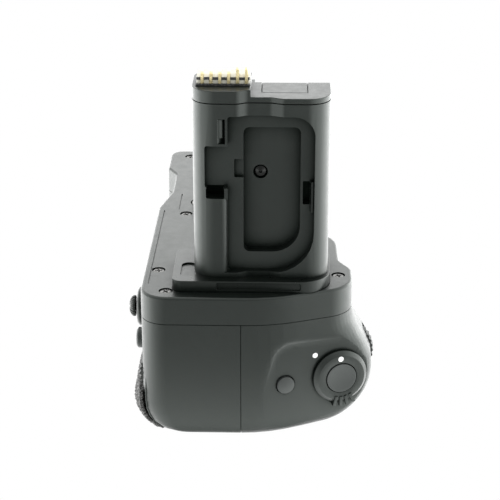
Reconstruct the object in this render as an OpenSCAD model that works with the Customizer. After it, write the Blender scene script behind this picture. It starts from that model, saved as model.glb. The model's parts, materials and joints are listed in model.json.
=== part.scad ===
// Camera battery grip: a two-cell vertical grip with a battery insert, a shutter panel and a camera screw.
// Origin at the mouth of the tripod socket, +X to the shutter end, +Y to the front, +Z up, millimetres.

/* [Cells and tray] */
// Length of one battery
cell_l = 56; // [50:0.5:62]
// Width of one battery
cell_w = 40; // [36:0.5:44]
// Thickness of one battery
cell_h = 20.5; // [18:0.5:24]
// Room left around each battery in its bay
cell_room = 0.6; // [0.3:0.1:1.2]
// Thickness of the tray's side rails
rail_t = 0.8; // [0.6:0.1:1.6]
// Height of the tray's side rails
rail_h = 14; // [8:0.5:17]
// Thickness of the tray's floor and partitions
tray_t = 1.2; // [0.8:0.1:2]
// Thickness of the door on the tray's outer end
door_t = 3.6; // [3.2:0.1:5]
// Depth behind the door for the latch cam
latch_room = 2; // [1.8:0.1:4]
// Radius of the latch knob
latch_r = 8; // [6:0.5:9]
// Depth of the contacts between the tray's inner end and the frame
contact_room = 2.2; // [1.8:0.1:4]

/* [Body] */
// Distance from the tripod axis to the tray end of the body
far_reach = 56; // [54:0.5:62]
// Distance from the tripod axis to the rear wall
rear_reach = 14.5; // [14:0.25:17]
// Wall of the casings
wall = 2.2; // [1.8:0.1:2.6]
// Depth behind the rear wall for the rear controls
control_depth = 4.2; // [4.2:0.1:6]
// Length of the control bay between the tray's frame and the shutter end
control_bay = 13; // [12.5:0.5:20]
// Thickness of the top plate
plate_t = 2; // [1.6:0.1:3]
// Height of the top cover's skirt
skirt_h = 8.6; // [8.5:0.1:10]
// Rounding of the plate's edge
plate_edge = 0.9; // [0.4:0.1:1.2]
// Place of the seam between the rear and front casings, forward of the tripod axis
split_y = 15.6; // [13:0.2:20]
// Depth of the finger waist in the rear wall
waist_depth = 3.4; // [2:0.2:4]
// How far the shutter nose stands forward of the plate's front edge
nose_out = 6.6; // [4:0.2:8]
// Rounding under the shutter end
end_r = 3.4; // [2:0.2:6]
// Rounding of the lower rear edge at the shutter end
rear_r = 10; // [6:0.5:11]
// Rounding of the lower front edge of the nose
nose_r = 18; // [12:0.5:20]
// Rounding of the rest of the lower front edge
front_r = 12; // [8:0.5:13]
// Rounding of the other lower edges
base_r = 4; // [2.5:0.5:5]
// Distance from the edge of the flat underside to the base plate
base_edge = 1.2; // [0.8:0.1:1.6]
// Width of the base plate's lip under the casings
base_lip = 1.8; // [1.2:0.1:2]
// Thickness of the base plate's lip
base_lip_t = 1.2; // [0.8:0.1:1.4]

/* [Camera screw] */
// Radius of the camera screw
screw_r = 3.175; // [3:0.025:5]
// How far the camera screw stands above the plate
screw_out = 5.6; // [4:0.2:8]
// Radius of the thumbwheel, whose rim lies level with the rear wall
wheel_r = 13; // [12.5:0.1:14]
// Thickness of the thumbwheel's rim
wheel_t = 3.6; // [3:0.1:5]
// Thickness of the gears between the thumbwheel and the screw
gear_t = 4.2; // [3:0.1:6]
// Size of the gear teeth, as pitch diameter over count
gear_m = 0.8; // [0.8:0.02:0.9]
// Thickness of the plate that carries the gears
gear_plate_t = 1.6; // [1.2:0.1:2.5]
// Height of the tripod bush
socket_h = 7.6; // [6:0.1:10]

/* [Insert] */
// Width of the insert, front to rear
insert_w = 40; // [36:0.5:44]
// Thickness of the insert
insert_t = 20.5; // [18:0.5:23]
// Height of the insert above the plate, to the low side of its cap
insert_h = 58.6; // [50:0.2:66]
// Distance from the shutter end to the insert's near face
insert_setback = 7.4; // [7:0.1:12]
// Distance from the tripod axis forward to the insert's rear edge
insert_y = 1.3; // [0:0.1:4]
// Height of the insert base above the plate
base_h = 3.5; // [2.5:0.1:5]
// Depth that the foot of the insert is let into the top plate
base_sink = 0.5; // [0.3:0.1:0.8]
// Depth of the valley down the insert's near face
valley_depth = 1.5; // [0.8:0.1:2]
// Depth of the cover store in the insert's near face
store_depth = 3; // [2:0.1:4]
// Further depth of the store's inner recess
inner_depth = 3.4; // [2:0.1:4]
// Thickness of the insert cap
cap_t = 1.6; // [1.2:0.1:3]
// Height of the cap's raised side over its low side
cap_step = 2.1; // [1.5:0.1:3]
// Distance between contact blades
pin_pitch = 2.54; // [2.3:0.02:2.6]
// Thickness of a contact blade
pin_t = 0.8; // [0.6:0.05:1]

/* [Shutter panel] */
// Turn of the shutter panel towards the front, in degrees
panel_turn = 18; // [12:0.5:22]
// Depth of the shutter panel below the shutter end
panel_depth = 1; // [0.6:0.1:1.4]
// Place of the shutter button forward of the tripod axis
shutter_y = 45.3; // [43:0.1:46]
// Height of the shutter button
shutter_z = 17.6; // [16.5:0.1:19]
// Outer radius of the lock ring
ring_r = 8.5; // [7.6:0.1:9]
// Height of the lock ring above the panel
ring_h = 2.2; // [1.6:0.1:3]
// Radius of the shutter button
shutter_r = 4.65; // [4:0.05:4.8]
// Travel of the shutter button
shutter_travel = 1.2; // [0.8:0.1:1.5]
// Distance between the shutter button and the function button
fn_offset = 17.2; // [15:0.1:18]
// Radius of the function button
fn_r = 2.7; // [2.2:0.1:3]
// Travel of the function button
fn_travel = 0.7; // [0.4:0.1:0.9]

/* [Dials] */
// Radius of the front dial
front_dial_r = 10; // [9:0.1:10.6]
// How far the front dial's rim stands out of the nose
front_dial_out = 0.8; // [0.5:0.1:1.5]
// Radius of the rear dial
rear_dial_r = 9.2; // [8.5:0.1:10]
// How far the rear dial's rim stands out of the rear wall
rear_dial_out = 1.1; // [0.6:0.1:1.5]
// Width of both dials
dial_w = 4.4; // [3.4:0.1:5]
// Radius of the dial axles
axle_r = 1.5; // [1:0.1:2]
// Height of the front dial's axle
front_dial_z = 19.4; // [18:0.2:22]
// Height of the rear dial's axle
rear_dial_z = 17.6; // [16:0.2:19]

/* [Rear buttons] */
// Distance from the shutter end to the focus button
focus_setback = 18.5; // [18:0.1:20]
// Height of the focus button
focus_z = 24.4; // [23:0.1:25]
// Radius of the focus button
focus_r = 3.2; // [2.6:0.1:3.4]
// How far the focus button stands out of the rear wall
focus_out = 2.6; // [1.4:0.1:3]
// Travel of the focus button
focus_travel = 0.5; // [0.3:0.05:0.6]
// Distance from the shutter end to the joystick
joy_setback = 29; // [28.5:0.1:32]
// Height of the joystick
joy_z = 30.4; // [29:0.1:31]
// Radius of the joystick bezel
bezel_r = 6.2; // [5.6:0.1:6.4]
// How far the joystick bezel stands out of the rear wall
bezel_out = 3.1; // [2:0.1:3.5]
// Radius of the joystick cap
joy_cap_r = 3.2; // [2.6:0.1:3.6]
// Height of the joystick cap
joy_cap_h = 2.2; // [1.6:0.1:3]

/* [Rubber] */
// Bulge of the thumb rest
thumb_t = 3.6; // [2:0.1:4.5]
// Thickness of the front pad
pad_t = 1.1; // [0.8:0.1:1.6]

/* [Clearances] */
// Running clearance of axles and pivots, on the radius
run = 0.05; // [0.02:0.01:0.1]
// Gap along a seam between casings
seam = 0.2; // [0.08:0.02:0.3]
// Gap around buttons, dials and the door
gap = 0.3; // [0.25:0.05:0.4]

/* [Hidden] */
$fn = 48;

// Along X, from the tray end to the shutter end
far_x = -far_reach;
bay_x = far_x + door_t + latch_room;
bay_l = cell_l + cell_room;
bay2_x = bay_x + bay_l + tray_t;
tray_x = bay2_x + bay_l + tray_t;
frame_t = 1;
frame_x = tray_x + contact_room + frame_t;
near_x = frame_x + control_bay;

// Along Y, from the rear wall to the front wall
rear_y = -rear_reach;
rear_in = rear_y + wall;
tray_y = rear_in + control_depth;
tray_w = cell_w + cell_room + 2 * rail_t;
side_gap = 0.4;
front_y = tray_y + tray_w + side_gap + wall;

// Along Z, from the tripod socket to the plate
lift = 0.4;
frame_z = socket_h + lift;
tray_z = frame_z + frame_t + gap;
bay_z = tray_z + tray_t;
bay_h = cell_h + cell_room;
roof_z = bay_z + bay_h + gap;
roof_top = roof_z + frame_t;
wheel_gap = 0.6;
wheel_z = roof_top + wheel_gap;
wheel_top = wheel_z + wheel_t;
gear_gap = 0.4;
gear_z = wheel_top + gear_gap;
gear_plate_z = gear_z + gear_t + gear_gap + gap;
plate_z = gear_plate_z + gear_plate_t;
top_z = plate_z + plate_t;
seam_z = top_z - skirt_h;

// Camera screw, and the thumbwheel that turns it through a pair of gears
wheel_teeth = 16;
screw_teeth = 25;
mesh = gear_m * (wheel_teeth + screw_teeth) / 2;
wheel_y = rear_y + wheel_r;
wheel_x = -sqrt(mesh * mesh - wheel_y * wheel_y);
mesh_angle = atan2(-wheel_y, -wheel_x);
waist_x = wheel_x + 21.1;
pin_r = 1.6;
bearing_r = pin_r + 1.1;
washer_t = 0.6;
collar_r = screw_r + 0.4;
wheel_axle_r = 1.6;

// Insert, seen from above and from the shutter end
insert_x1 = near_x - insert_setback;
insert_x0 = insert_x1 - insert_t;
insert_y1 = insert_y + insert_w;
insert_z = top_z + base_h;
insert_top = top_z + insert_h;
cap_z = insert_top - cap_t;
skin = 1.6;
store_y0 = insert_y + 10.4;
store_y1 = insert_y1 - 4.4;
store_z0 = insert_z + 1.6;
store_z1 = insert_top - 5.4;
inner_y0 = store_y0 + 4.5;
inner_y1 = store_y1 - 4.1;
inner_z0 = store_z0 + 5.7;
inner_z1 = store_z1 - 3.9;
floor_x = insert_x1 - store_depth;
inner_x = floor_x - inner_depth;
store_screw_y = inner_y0 + 4.9;
store_screw_z = inner_z1 - 14.6;
clip_z = store_z1 - 29.4;
clip_h = 9.5;
clip_w = 1.3;
clip_t = 1.8;
clip_slot_w = 1.9;
clip_slot_h = 7.2;
clip_y = store_y1 - clip_w - 0.2;
raised_w = 17;
cap_top = insert_top + cap_step;

// Contact block on the cap's raised side
block_x1 = insert_x1 - 6;
block_l = 8;
block_margin = 1.4;
seal_t = 0.6;
block_h = 2;
block_groove = 0.5;
pin_count = 6;
tall_count = 2;
pin_out = 1.4;
tall_out = 1.3;
pin_l = 3.4;
block_z = cap_top + seal_t;
block_top = block_z + block_h;
flex_x = block_x1 - block_l + 1.5;
flex_l = 3;
pin_shift = 0.85;
pins_y = insert_y + raised_w / 2 - pin_pitch * (pin_count - 1) / 2 + pin_shift;
flex_y = insert_y + 2 * skin + 3.4;
flex_w = 8.4;

// Shutter panel: its plane meets the shutter end at panel_y
panel_y = 24.6;
panel_x = near_x - panel_depth - (shutter_y - panel_y) * tan(panel_turn);
hub_r = shutter_r + 1.6;
hub_l = 2.2;
button_out = ring_h + 0.25;
flange_t = 0.6;
flange_z = -hub_l - gap;
stem_r = 1.5;
shutter_stem = flange_z - flange_t - 0.5;
switch_z = shutter_stem - shutter_travel - 0.1;
switch_t = 1.2;
housing_z = switch_z - switch_t;
housing_t = 0.8;
board_t = 1;
board_z = housing_z - housing_t;
fn_out = 0.7;
fn_x = 0.8;
fn_flange_z = -2.9;
fn_stem = fn_flange_z - 1.5;
tab_from = 96;
tab_span = 40;
tab_out = 0.9;
rib_count = 4;
rib_w = 0.9;

// Dials
cheek_t = 1.2;
dial_gap = 0.4;
rear_dial_x = frame_x + 0.2 + cheek_t + dial_gap + dial_w / 2;
rear_dial_y = rear_y - rear_dial_out + rear_dial_r;
front_dial_x = panel_x - 15.4;
plate_front = 48.9;
nose_rise = 18;
nose_y = plate_front + nose_out;
front_dial_y = nose_y + front_dial_out - front_dial_r;

// Rear buttons and their board
focus_x = near_x - focus_setback;
joy_x = near_x - joy_setback;
rear_board_t = 0.8;
rear_board_y = tray_y - 0.4;
rear_board_face = rear_board_y - rear_board_t;
focus_switch_t = 1.1;
joy_base_t = 0.6;
pivot_y = rear_in + 1;
gimbal_r = 3.6;
gimbal_t = 1.3;
gimbal_bore = 2.3;
joy_pin_r = 0.4;
ear_t = 1;
neck_r = 1.5;
sleeve_r = 5;
sleeve_bore = 4.3;
cap_gap = 0.6;

// Screws: centres on the plate and under the base
head_r = 1.9;
head_h = 1.1;
head_sink = 0.25;
shank_r = 1.1;
shank_l = 6;
boss_r = 2;
long_screws = [
    [near_x - 21.3, rear_y + 4.3],
    [near_x - 5.3, rear_y + 7.7],
    [far_x + 6.6, rear_y + 7.4],
    [near_x - 18.6, plate_front - 4.2],
    [far_x + 8, front_y - 7]
];
short_screw = [11.2, rear_y + 9.6];
post_r = 3;
base_screws_at = [
    [far_x + 11, tray_y + 5],
    [far_x + 11, front_y - 12],
    [frame_x - 8, tray_y + 8],
    [frame_x - 8, front_y - 12]
];

// Door, latch and contacts of the tray
door_y0 = tray_y - gap;
door_y1 = tray_y + tray_w + gap;
door_z0 = tray_z - gap;
door_z1 = bay_z + bay_h + gap;
contact_w = 2.6;
contact_z = tray_z + 8;
contact_pad = 0.4;
knob_t = 1.8;
spindle_r = 2;
latch_y = (door_y0 + door_y1) / 2;
latch_z = (door_z0 + door_z1) / 2;

// Bush of the tripod socket
bush_r = screw_r + 2.6;

// Materials as photographed
charcoal = [0.25, 0.27, 0.265];
dark = [0.17, 0.18, 0.175];
rubber = [0.10, 0.10, 0.10];
grey = [0.40, 0.41, 0.405];
steel = [0.72, 0.72, 0.70];
brass = [0.83, 0.66, 0.33];
green = [0.10, 0.30, 0.18];
amber = [0.72, 0.45, 0.15];

// Outlines: a corner is [x, y, radius, arc steps], listed counter-clockwise

// Distance and direction from one corner to the next
function apart(a, b) = norm([b.x - a.x, b.y - a.y]);
function along(a, b) = [b.x - a.x, b.y - a.y] / apart(a, b);

// Corner list moved inward by d, every side parallel to itself
function inset(c, d) = [
    for (i = [0 : len(c) - 1])
        let (
            q = c[i],
            u = along(c[(i + len(c) - 1) % len(c)], q),
            v = along(q, c[(i + 1) % len(c)]),
            side = sign(u.x * v.y - u.y * v.x),
            m = [-u.y - v.y, u.x + v.x] / (1 + u * v)
        )
        [q.x + d * m.x, q.y + d * m.y, max(q[2] - side * d, 0.2), q[3]]
];

// Points of a corner list, with an arc at each corner that leaves room for its neighbours
function rounded(c) = [
    for (i = [0 : len(c) - 1])
        let (
            q = c[i],
            u = along(c[(i + len(c) - 1) % len(c)], q),
            v = along(q, c[(i + 1) % len(c)]),
            side = sign(u.x * v.y - u.y * v.x),
            turn = acos(min(1, u * v)),
            room = 0.49 * min(apart(c[(i + len(c) - 1) % len(c)], q), apart(q, c[(i + 1) % len(c)])),
            radius = min(q[2], room / tan(turn / 2)),
            start = [q.x, q.y] - u * radius * tan(turn / 2),
            hub = start + [-u.y, u.x] * side * radius
        )
        for (k = [0 : q[3]])
            let (a = side * turn * k / q[3], r = start - hub)
            hub + [r.x * cos(a) - r.y * sin(a), r.x * sin(a) + r.y * cos(a)]
];

// Plain rounded rectangle as a corner list
function box_corners(x0, y0, x1, y1, r) =
    [[x1, y0, r, 6], [x1, y1, r, 6], [x0, y1, r, 6], [x0, y0, r, 6]];

// Number of points on the arcs up to corner k
function points_to(c, k) = k < 0 ? 0 : c[k][3] + 1 + points_to(c, k - 1);

// Skin over a stack of [outline, z] rings; each end is closed by two flat faces that meet at point k
module loft(rings, k) {
    n = len(rings[0][0]);
    m = len(rings);
    last = (m - 1) * n;
    polyhedron(
        points = [for (r = rings) for (p = r[0]) [p.x, p.y, r[1]]],
        faces = concat(
            [[for (i = [-1 : k]) (i + n) % n], [for (i = [k : n - 1]) i]],
            [for (j = [0 : m - 2]) for (i = [0 : n - 1])
                [j * n + i, (j + 1) * n + i, (j + 1) * n + (i + 1) % n]],
            [for (j = [0 : m - 2]) for (i = [0 : n - 1])
                [j * n + i, (j + 1) * n + (i + 1) % n, j * n + (i + 1) % n]],
            [concat([last + k], [for (i = [n - 1 : -1 : k + 1]) last + i])],
            [concat([last + n - 1], [for (i = [k : -1 : 0]) last + i])]
        ),
        convexity = 10
    );
}

// Body form

// How far a lower edge of radius r draws in at height z
function drop(z, r) = z < r ? r - sqrt(r * r - (r - z) * (r - z)) : 0;

// Smooth step from 0 to 1
function ease(t) = let (u = min(max(t, 0), 1)) u * u * (3 - 2 * u);

// How far the nose has come forward at height z, from 0 under the skirt to 1
function bulge(z) = ease((seam_z - z) / nose_rise);

// Corners of the body's outline at height z
function body_corners(z) =
    let (
        b = bulge(z),
        end = near_x - drop(z, end_r),
        far = far_x + drop(z, base_r),
        rear = rear_y + drop(z, base_r),
        front = plate_front + nose_out * b - drop(z, nose_r),
        grip = plate_front - 3.6 - drop(z, front_r)
    )
    [
        [end, rear_y + drop(z, rear_r), 8, 8],
        [end, panel_y, 42, 4],
        [near_x - 9.6 - drop(z, end_r), front, 11 - 4 * b, 8],
        [near_x - 24 - 6 * b, front, 6, 5],
        [near_x - 30.5 - 5 * b, grip, 8, 5],
        [near_x - 47, grip - 0.4, 12, 4],
        [near_x - 61, front_y - drop(z, min(front_r, frame_z)), 12, 4],
        [far, front_y - drop(z, base_r), 4, 6],
        [far, rear, 4.5, 6],
        [wheel_x - wheel_r - 6.9, rear, 3.2, 3],
        [wheel_x - wheel_r + 0.1, rear + waist_depth, 5, 3],
        [wheel_x + 5.1, rear + waist_depth, 14, 3],
        [waist_x, rear, 6, 3]
    ];

// Last point of the outline's front corner at the tray end, which sees the whole waist
cap_point = points_to(body_corners(0), 7) - 1;

// Outline of the body at height z, drawn in by d
function body_outline(z, d = 0) = rounded(inset(body_corners(z), d));

// Rear face of the casing at x and z, between the shutter end and the waist
function rear_face(x, z) =
    let (t = (near_x - x) / (near_x - waist_x))
    rear_y + drop(z, rear_r) * (1 - t) + drop(z, base_r) * t;

// Hollow lower body, from which both casings are cut
module body_shell() {
    low = [0, 0.06, 0.2, 0.45, 0.8];
    outer = concat([for (s = low) s * base_r], [5, 7.5, 10.5, 14, 18, 22, 26, 30, 34, seam_z - seam]);
    inner = [seam_z - seam, 30, 24, 18, 11, 6, wall];
    loft(concat(
        [for (z = outer) [body_outline(z), z]],
        [for (z = inner) [body_outline(z, wall), z]]
    ), cap_point);
}

// Places on the shutter panel: local z outward, local x down, local y to the front
module on_panel(x = 0, y = 0, z = 0) {
    translate([panel_x, shutter_y, shutter_z])
        rotate([0, 90, panel_turn])
            translate([x, y, z])
                children();
}

// Places on the rear wall: local z outward
module on_rear(x, z) {
    translate([x, rear_y, z])
        rotate([90, 0, 0])
            children();
}

// Recess of the shutter panel, flared out to a soft crest
module panel_cut() {
    flare = [[0, 0], [0.7, 0.5], [1.5, 1.6], [2.5, 3.6], [4, 7.4]];
    for (i = [0 : len(flare) - 2])
        panel_step(flare[i], flare[i + 1], i == 0 ? 0 : 0.3);
}

// One step of the flare, from its height and growth at a to those at b, run on below a
module panel_step(a, b, run_on) {
    low = a - run_on * [1, (b.y - a.y) / (b.x - a.x)];
    hull() {
        on_panel(0, 0, low.x)
            panel_shape(low.y);
        on_panel(0, 0, b.x)
            panel_shape(b.y);
    }
}

// Slice of the panel's outline, grown by d
module panel_shape(d) {
    soft = 6 + d;
    brow = 9 + d;
    top = -12.5 - d;
    left = -21.2 - d;
    linear_extrude(0.01) {
        translate([top + soft, left + soft])
            circle(soft, $fn = 32);
        translate([top + brow, 0.5])
            circle(brow, $fn = 32);
        polygon([[top, 0.5], [30, 24 + d], [30, left - 11], [top + soft + 2, left - 0.4]]);
    }
}

// Bar with a knurled side
module knurled(r, h, teeth, depth) {
    linear_extrude(h)
        polygon([for (i = [0 : 2 * teeth - 1])
            (r - depth * (i % 2)) * [cos(180 * i / teeth), sin(180 * i / teeth)]]);
}

// Casings

module top_cover() {
    steps = 4;
    color(charcoal)
        difference() {
            loft(concat(
                [[body_outline(seam_z, wall), plate_z], [body_outline(seam_z, wall), seam_z]],
                [for (z = [seam_z, top_z - plate_edge]) [body_outline(seam_z), z]],
                [for (k = [1 : steps])
                    let (a = 90 * k / steps)
                    [body_outline(seam_z, plate_edge * (1 - cos(a))), top_z - plate_edge * (1 - sin(a))]]
            ), cap_point);
            translate([0, 0, plate_z - 1])
                cylinder(r = collar_r + 0.5, h = plate_t + 2);
            for (s = concat(long_screws, [short_screw]))
                translate([s.x, s.y, 0])
                    plate_hole();
            translate([0, 0, top_z - base_sink])
                linear_extrude(base_sink + 1)
                    polygon(rounded(inset(base_corners(), -seam)));
            translate([insert_x0 + skin, insert_y + skin + 3, plate_z - 1])
                cube([insert_t - 2 * skin, insert_w - 2 * skin - 6, plate_t + 2]);
            translate([waist_x + 3.5, rear_y + 1.9, top_z - 0.3])
                cube([near_x - waist_x - 14, 0.35, 1]);
            translate([-8, rear_y + 6.8, top_z - 0.3])
                cube([15.4, 0.35, 1]);
        }
}

// Counterbored hole of a plate screw
module plate_hole() {
    translate([0, 0, top_z - head_h - head_sink])
        cylinder(r = head_r + 0.2, h = head_h + 1);
    translate([0, 0, plate_z - 1])
        cylinder(r = shank_r + 0.15, h = plate_t + 2);
}

module rear_casing() {
    color(charcoal)
        difference() {
            intersection() {
                body_shell();
                translate([far_x - 10, rear_y - 20, -1])
                    cube([near_x - far_x + 20, split_y - seam / 2 - rear_y + 20, top_z]);
            }
            door_opening();
            base_opening();
            on_rear(focus_x, focus_z)
                translate([0, 0, -wall - 1])
                    cylinder(r = focus_r + gap, h = wall + 2);
            on_rear(joy_x, joy_z)
                translate([0, 0, -wall - 1])
                    cylinder(r = sleeve_r + run, h = wall + 2);
            dial_slot(rear_dial_x, rear_dial_y, rear_dial_z, rear_dial_r);
            translate([wheel_x, wheel_y, wheel_z - gap])
                cylinder(r = wheel_r + gap, h = top_z);
        }
}

module front_casing() {
    color(charcoal)
        difference() {
            intersection() {
                body_shell();
                translate([far_x - 10, split_y + seam / 2, -1])
                    cube([near_x - far_x + 20, nose_y, top_z]);
            }
            door_opening();
            base_opening();
            panel_cut();
            on_panel(0, 0, -12)
                cylinder(r = hub_r + 0.1, h = 20);
            on_panel(fn_x, -fn_offset, -12)
                cylinder(r = fn_r + gap, h = 20);
            dial_slot(front_dial_x, front_dial_y, front_dial_z, front_dial_r);
        }
}

// Mouth of the battery chamber in the tray end
module door_opening() {
    translate([far_x - 5, door_y0 - gap, door_z0 - gap])
        cube([5 + wall + door_t, door_y1 - door_y0 + 2 * gap, door_z1 - door_z0 + 2 * gap]);
}

// Outline of the base plate, drawn in by d
module base_outline(d) {
    polygon(rounded(inset(body_corners(0), base_edge + d)));
}

// Stepped opening for the base plate in the floor of the casings
module base_opening() {
    translate([0, 0, -1]) {
        linear_extrude(base_lip_t + 1)
            base_outline(0);
        linear_extrude(wall + 2)
            base_outline(base_lip);
    }
}

// Plate between the frame's posts and the base screws, whose lip carries the casings
module base_plate() {
    color(charcoal)
        difference() {
            union() {
                linear_extrude(base_lip_t)
                    base_outline(seam);
                translate([0, 0, base_lip_t / 2])
                    linear_extrude(wall - base_lip_t / 2)
                        base_outline(base_lip + seam);
            }
            base_holes();
            translate([0, 0, -1])
                cylinder(r = bush_r + run, h = wall + 2);
        }
}

// Holes under the base for the base screws
module base_holes() {
    for (s = base_screws_at)
        translate([s.x, s.y, -1]) {
            cylinder(r = head_r + 0.2, h = 1 + head_h + head_sink);
            cylinder(r = shank_r + 0.15, h = wall + 3);
        }
}

// Slot that a dial's rim comes out of
module dial_slot(x, y, z, r) {
    w = dial_w + 2 * gap;
    translate([x - w / 2, y, z])
        rotate([0, 90, 0])
            cylinder(r = r + gap, h = w);
}

// Insert

// Corners of the insert's outline, drawn in by d
function insert_corners(d = 0) = inset([
    [insert_x1, insert_y, 8.5, 8],
    [insert_x1, insert_y + 13.4, 3, 3],
    [insert_x1 - valley_depth, insert_y + 15.8, 3, 3],
    [insert_x1 - valley_depth, insert_y1 - 17.2, 3, 3],
    [insert_x1, insert_y1 - 13.6, 3, 3],
    [insert_x1, insert_y1, 8.5, 8],
    [insert_x0, insert_y1, 3.5, 6],
    [insert_x0, insert_y, 3.5, 6]
], d);

// Corners of the insert base's outline
function base_corners() =
    let (x0 = insert_x0 - 2.6, x1 = insert_x1 + 2.9, y0 = insert_y - 6.3, y1 = insert_y1 + 0.7)
    [[x1, y0, 3, 6], [x1, y1, 9, 8], [x0, y1, 3, 6], [x0, y0, 3, 6]];

// Prism with its outline in the Y and Z plane, cut back from x by depth
module near_cut(x, depth, corners) {
    translate([x - depth, 0, 0])
        rotate([90, 0, 90])
            linear_extrude(depth + 5)
                polygon(rounded(corners));
}

module insert_base() {
    pocket_r = 2.2;
    pocket_y = insert_y - 1.8;
    color(dark)
        difference() {
            union() {
                translate([0, 0, top_z - base_sink])
                    linear_extrude(base_h + base_sink)
                        polygon(rounded(base_corners()));
                translate([insert_x0 + skin + gap, insert_y + skin + 3 + gap, plate_z])
                    cube([insert_t - 2 * skin - 2 * gap, insert_w - 2 * skin - 6 - 2 * gap, plate_t + 1]);
            }
            translate([0, 0, insert_z - 0.5])
                linear_extrude(base_h)
                    polygon(rounded(box_corners(insert_x1 - 11.6, pocket_y - pocket_r,
                        insert_x1 - 0.6, pocket_y + pocket_r, pocket_r - 0.05)));
            translate([insert_x0 + 2 * skin, insert_y + 2 * skin + 3, plate_z - 1])
                cube([flex_x + 2 - insert_x0 - 2 * skin, insert_w - 16, top_z]);
            near_cut(insert_x1 + 2.9, 0.5,
                box_corners(insert_y + 7, top_z + 0.7, insert_y1 - 8, insert_z - 0.6, 0.5));
        }
}

module insert_shell() {
    round_r = 2;
    slot_z1 = store_z1 - 21.7;
    slot_z0 = slot_z1 - 3.2;
    pocket_z1 = store_z1 - 8.9;
    ramp_w = 2.5;
    color(charcoal)
        difference() {
            translate([0, 0, insert_z])
                linear_extrude(cap_z - insert_z - seam)
                    polygon(rounded(insert_corners()));
            translate([insert_x0 + skin, insert_y + skin, insert_z - 1])
                cube([inner_x - skin - insert_x0 - skin, insert_w - 2 * skin, insert_h]);
            near_cut(insert_x1, store_depth, [
                [store_y1, store_z0, 14, 8], [store_y1, store_z1, 6, 6],
                [store_y0, store_z1, 0.8, 3], [store_y0, store_z0, 0.8, 3]
            ]);
            near_cut(floor_x, inner_depth, [
                [inner_y1, inner_z0, 8, 8], [inner_y1, inner_z1, 1.8, 4],
                [inner_y0, inner_z1, 1.8, 4], [inner_y0, inner_z0, 1.8, 4]
            ]);
            near_cut(insert_x1, store_depth, box_corners(insert_y + 3.7, slot_z1, store_y0 + 2, pocket_z1, 0.8));
            near_cut(insert_x1, store_depth + 3, box_corners(insert_y + 4, slot_z0, store_y0 - 1, slot_z1 + 0.1, 0.5));
            translate([insert_x1, store_y0 - 0.7 - ramp_w, pocket_z1 + 0.7])
                linear_extrude(store_z1 - pocket_z1 - 1.5)
                    polygon([[0.3, 0], [0.3, ramp_w], [-1.9, ramp_w]]);
            near_cut(floor_x, 1.4, box_corners(inner_y0 - 2.7, store_screw_z - 0.7, inner_y0 + 1, store_screw_z + 4.9, 0.4));
            near_cut(floor_x, 3, box_corners(clip_y - clip_slot_w, clip_z + 2, clip_y + 0.1, clip_z + 2 + clip_slot_h, 0.3));
            translate([inner_x - 1.2, store_screw_y, store_screw_z])
                rotate([0, 90, 0])
                    cylinder(r = head_r + 0.25, h = 5);
            translate([inner_x - skin - 1, store_screw_y, store_screw_z])
                rotate([0, 90, 0])
                    cylinder(r = shank_r + 0.1, h = 5);
            translate([insert_x1 - round_r, store_y0 - round_r, store_z0])
                linear_extrude(slot_z0 - store_z0)
                    difference() {
                        square(round_r + 1);
                        circle(round_r);
                    }
        }
}

module insert_cap() {
    lip = 1.5;
    step_y = insert_y + raised_w;
    color(charcoal)
        difference() {
            union() {
                translate([0, 0, cap_z])
                    linear_extrude(cap_t)
                        polygon(rounded(insert_corners()));
                intersection() {
                    translate([0, 0, cap_z])
                        linear_extrude(cap_t + cap_step)
                            polygon(rounded(insert_corners()));
                    translate([insert_x0 - 1, insert_y - 1, cap_z])
                        cube([insert_t + 2, raised_w + 1, cap_t + cap_step]);
                }
                translate([insert_x0 + skin + 0.2, insert_y + skin + 0.2, cap_z - lip])
                    cube([inner_x - 2 * skin - insert_x0 - 0.4, insert_w - 2 * skin - 0.4, lip + 0.5]);
            }
            translate([insert_x0 - 1, step_y + 3, insert_top - 0.6])
                cube([insert_t - 5.5, insert_w - raised_w - 9.6, 2]);
            translate([insert_x0 - 1, step_y + 1, insert_top - 1])
                cube([4, insert_w, 2]);
            translate([flex_x - 0.5, flex_y - 0.5, cap_z - lip - 1])
                cube([flex_l + 1, flex_w + 1, 10]);
        }
}

module contact_seal() {
    color(rubber)
        translate([block_x1 - block_l - 0.5, insert_y + block_margin - 0.4, cap_top])
            linear_extrude(seal_t)
                polygon(rounded(box_corners(0, 0, block_l + 1, raised_w - block_margin + 0.2, 0.8)));
}

// Y of a contact blade's middle
function pin_y(i) = pins_y + i * pin_pitch;

// Blade standing in the contact block, rounded at its upper near edge
module blade(i, out) {
    r = 1.2;
    translate([block_x1 - pin_l + 0.3, pin_y(i) + pin_t / 2, block_z])
        rotate([90, 0, 0])
            linear_extrude(pin_t)
                polygon(rounded([
                    [pin_l, 0, 0.2, 2], [pin_l, block_h + out, r, 5],
                    [0, block_h + out, 0.4, 2], [0, 0, 0.2, 2]
                ]));
}

module contact_block() {
    slot_t = pin_t + 0.1;
    color([0.55, 0.54, 0.50])
        difference() {
            translate([block_x1 - block_l, insert_y + block_margin, block_z])
                linear_extrude(block_h)
                    polygon(rounded(box_corners(0, 0, block_l, raised_w - block_margin - 0.3, 0.5)));
            for (i = [0 : pin_count - 1])
                translate([block_x1 - pin_l + 0.25, pin_y(i) - slot_t / 2, block_z - 1])
                    cube([pin_l + 1, slot_t, block_h + 2]);
            translate([block_x1 - 0.8, insert_y, block_top - 0.3 - block_groove])
                cube([2, raised_w + 1, block_groove]);
        }
}

module short_blades() {
    color(brass)
        for (i = [0 : pin_count - tall_count - 1])
            blade(i, pin_out);
}

module tall_blades() {
    color(brass)
        for (i = [pin_count - tall_count : pin_count - 1])
            blade(i, pin_out + tall_out);
}

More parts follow.
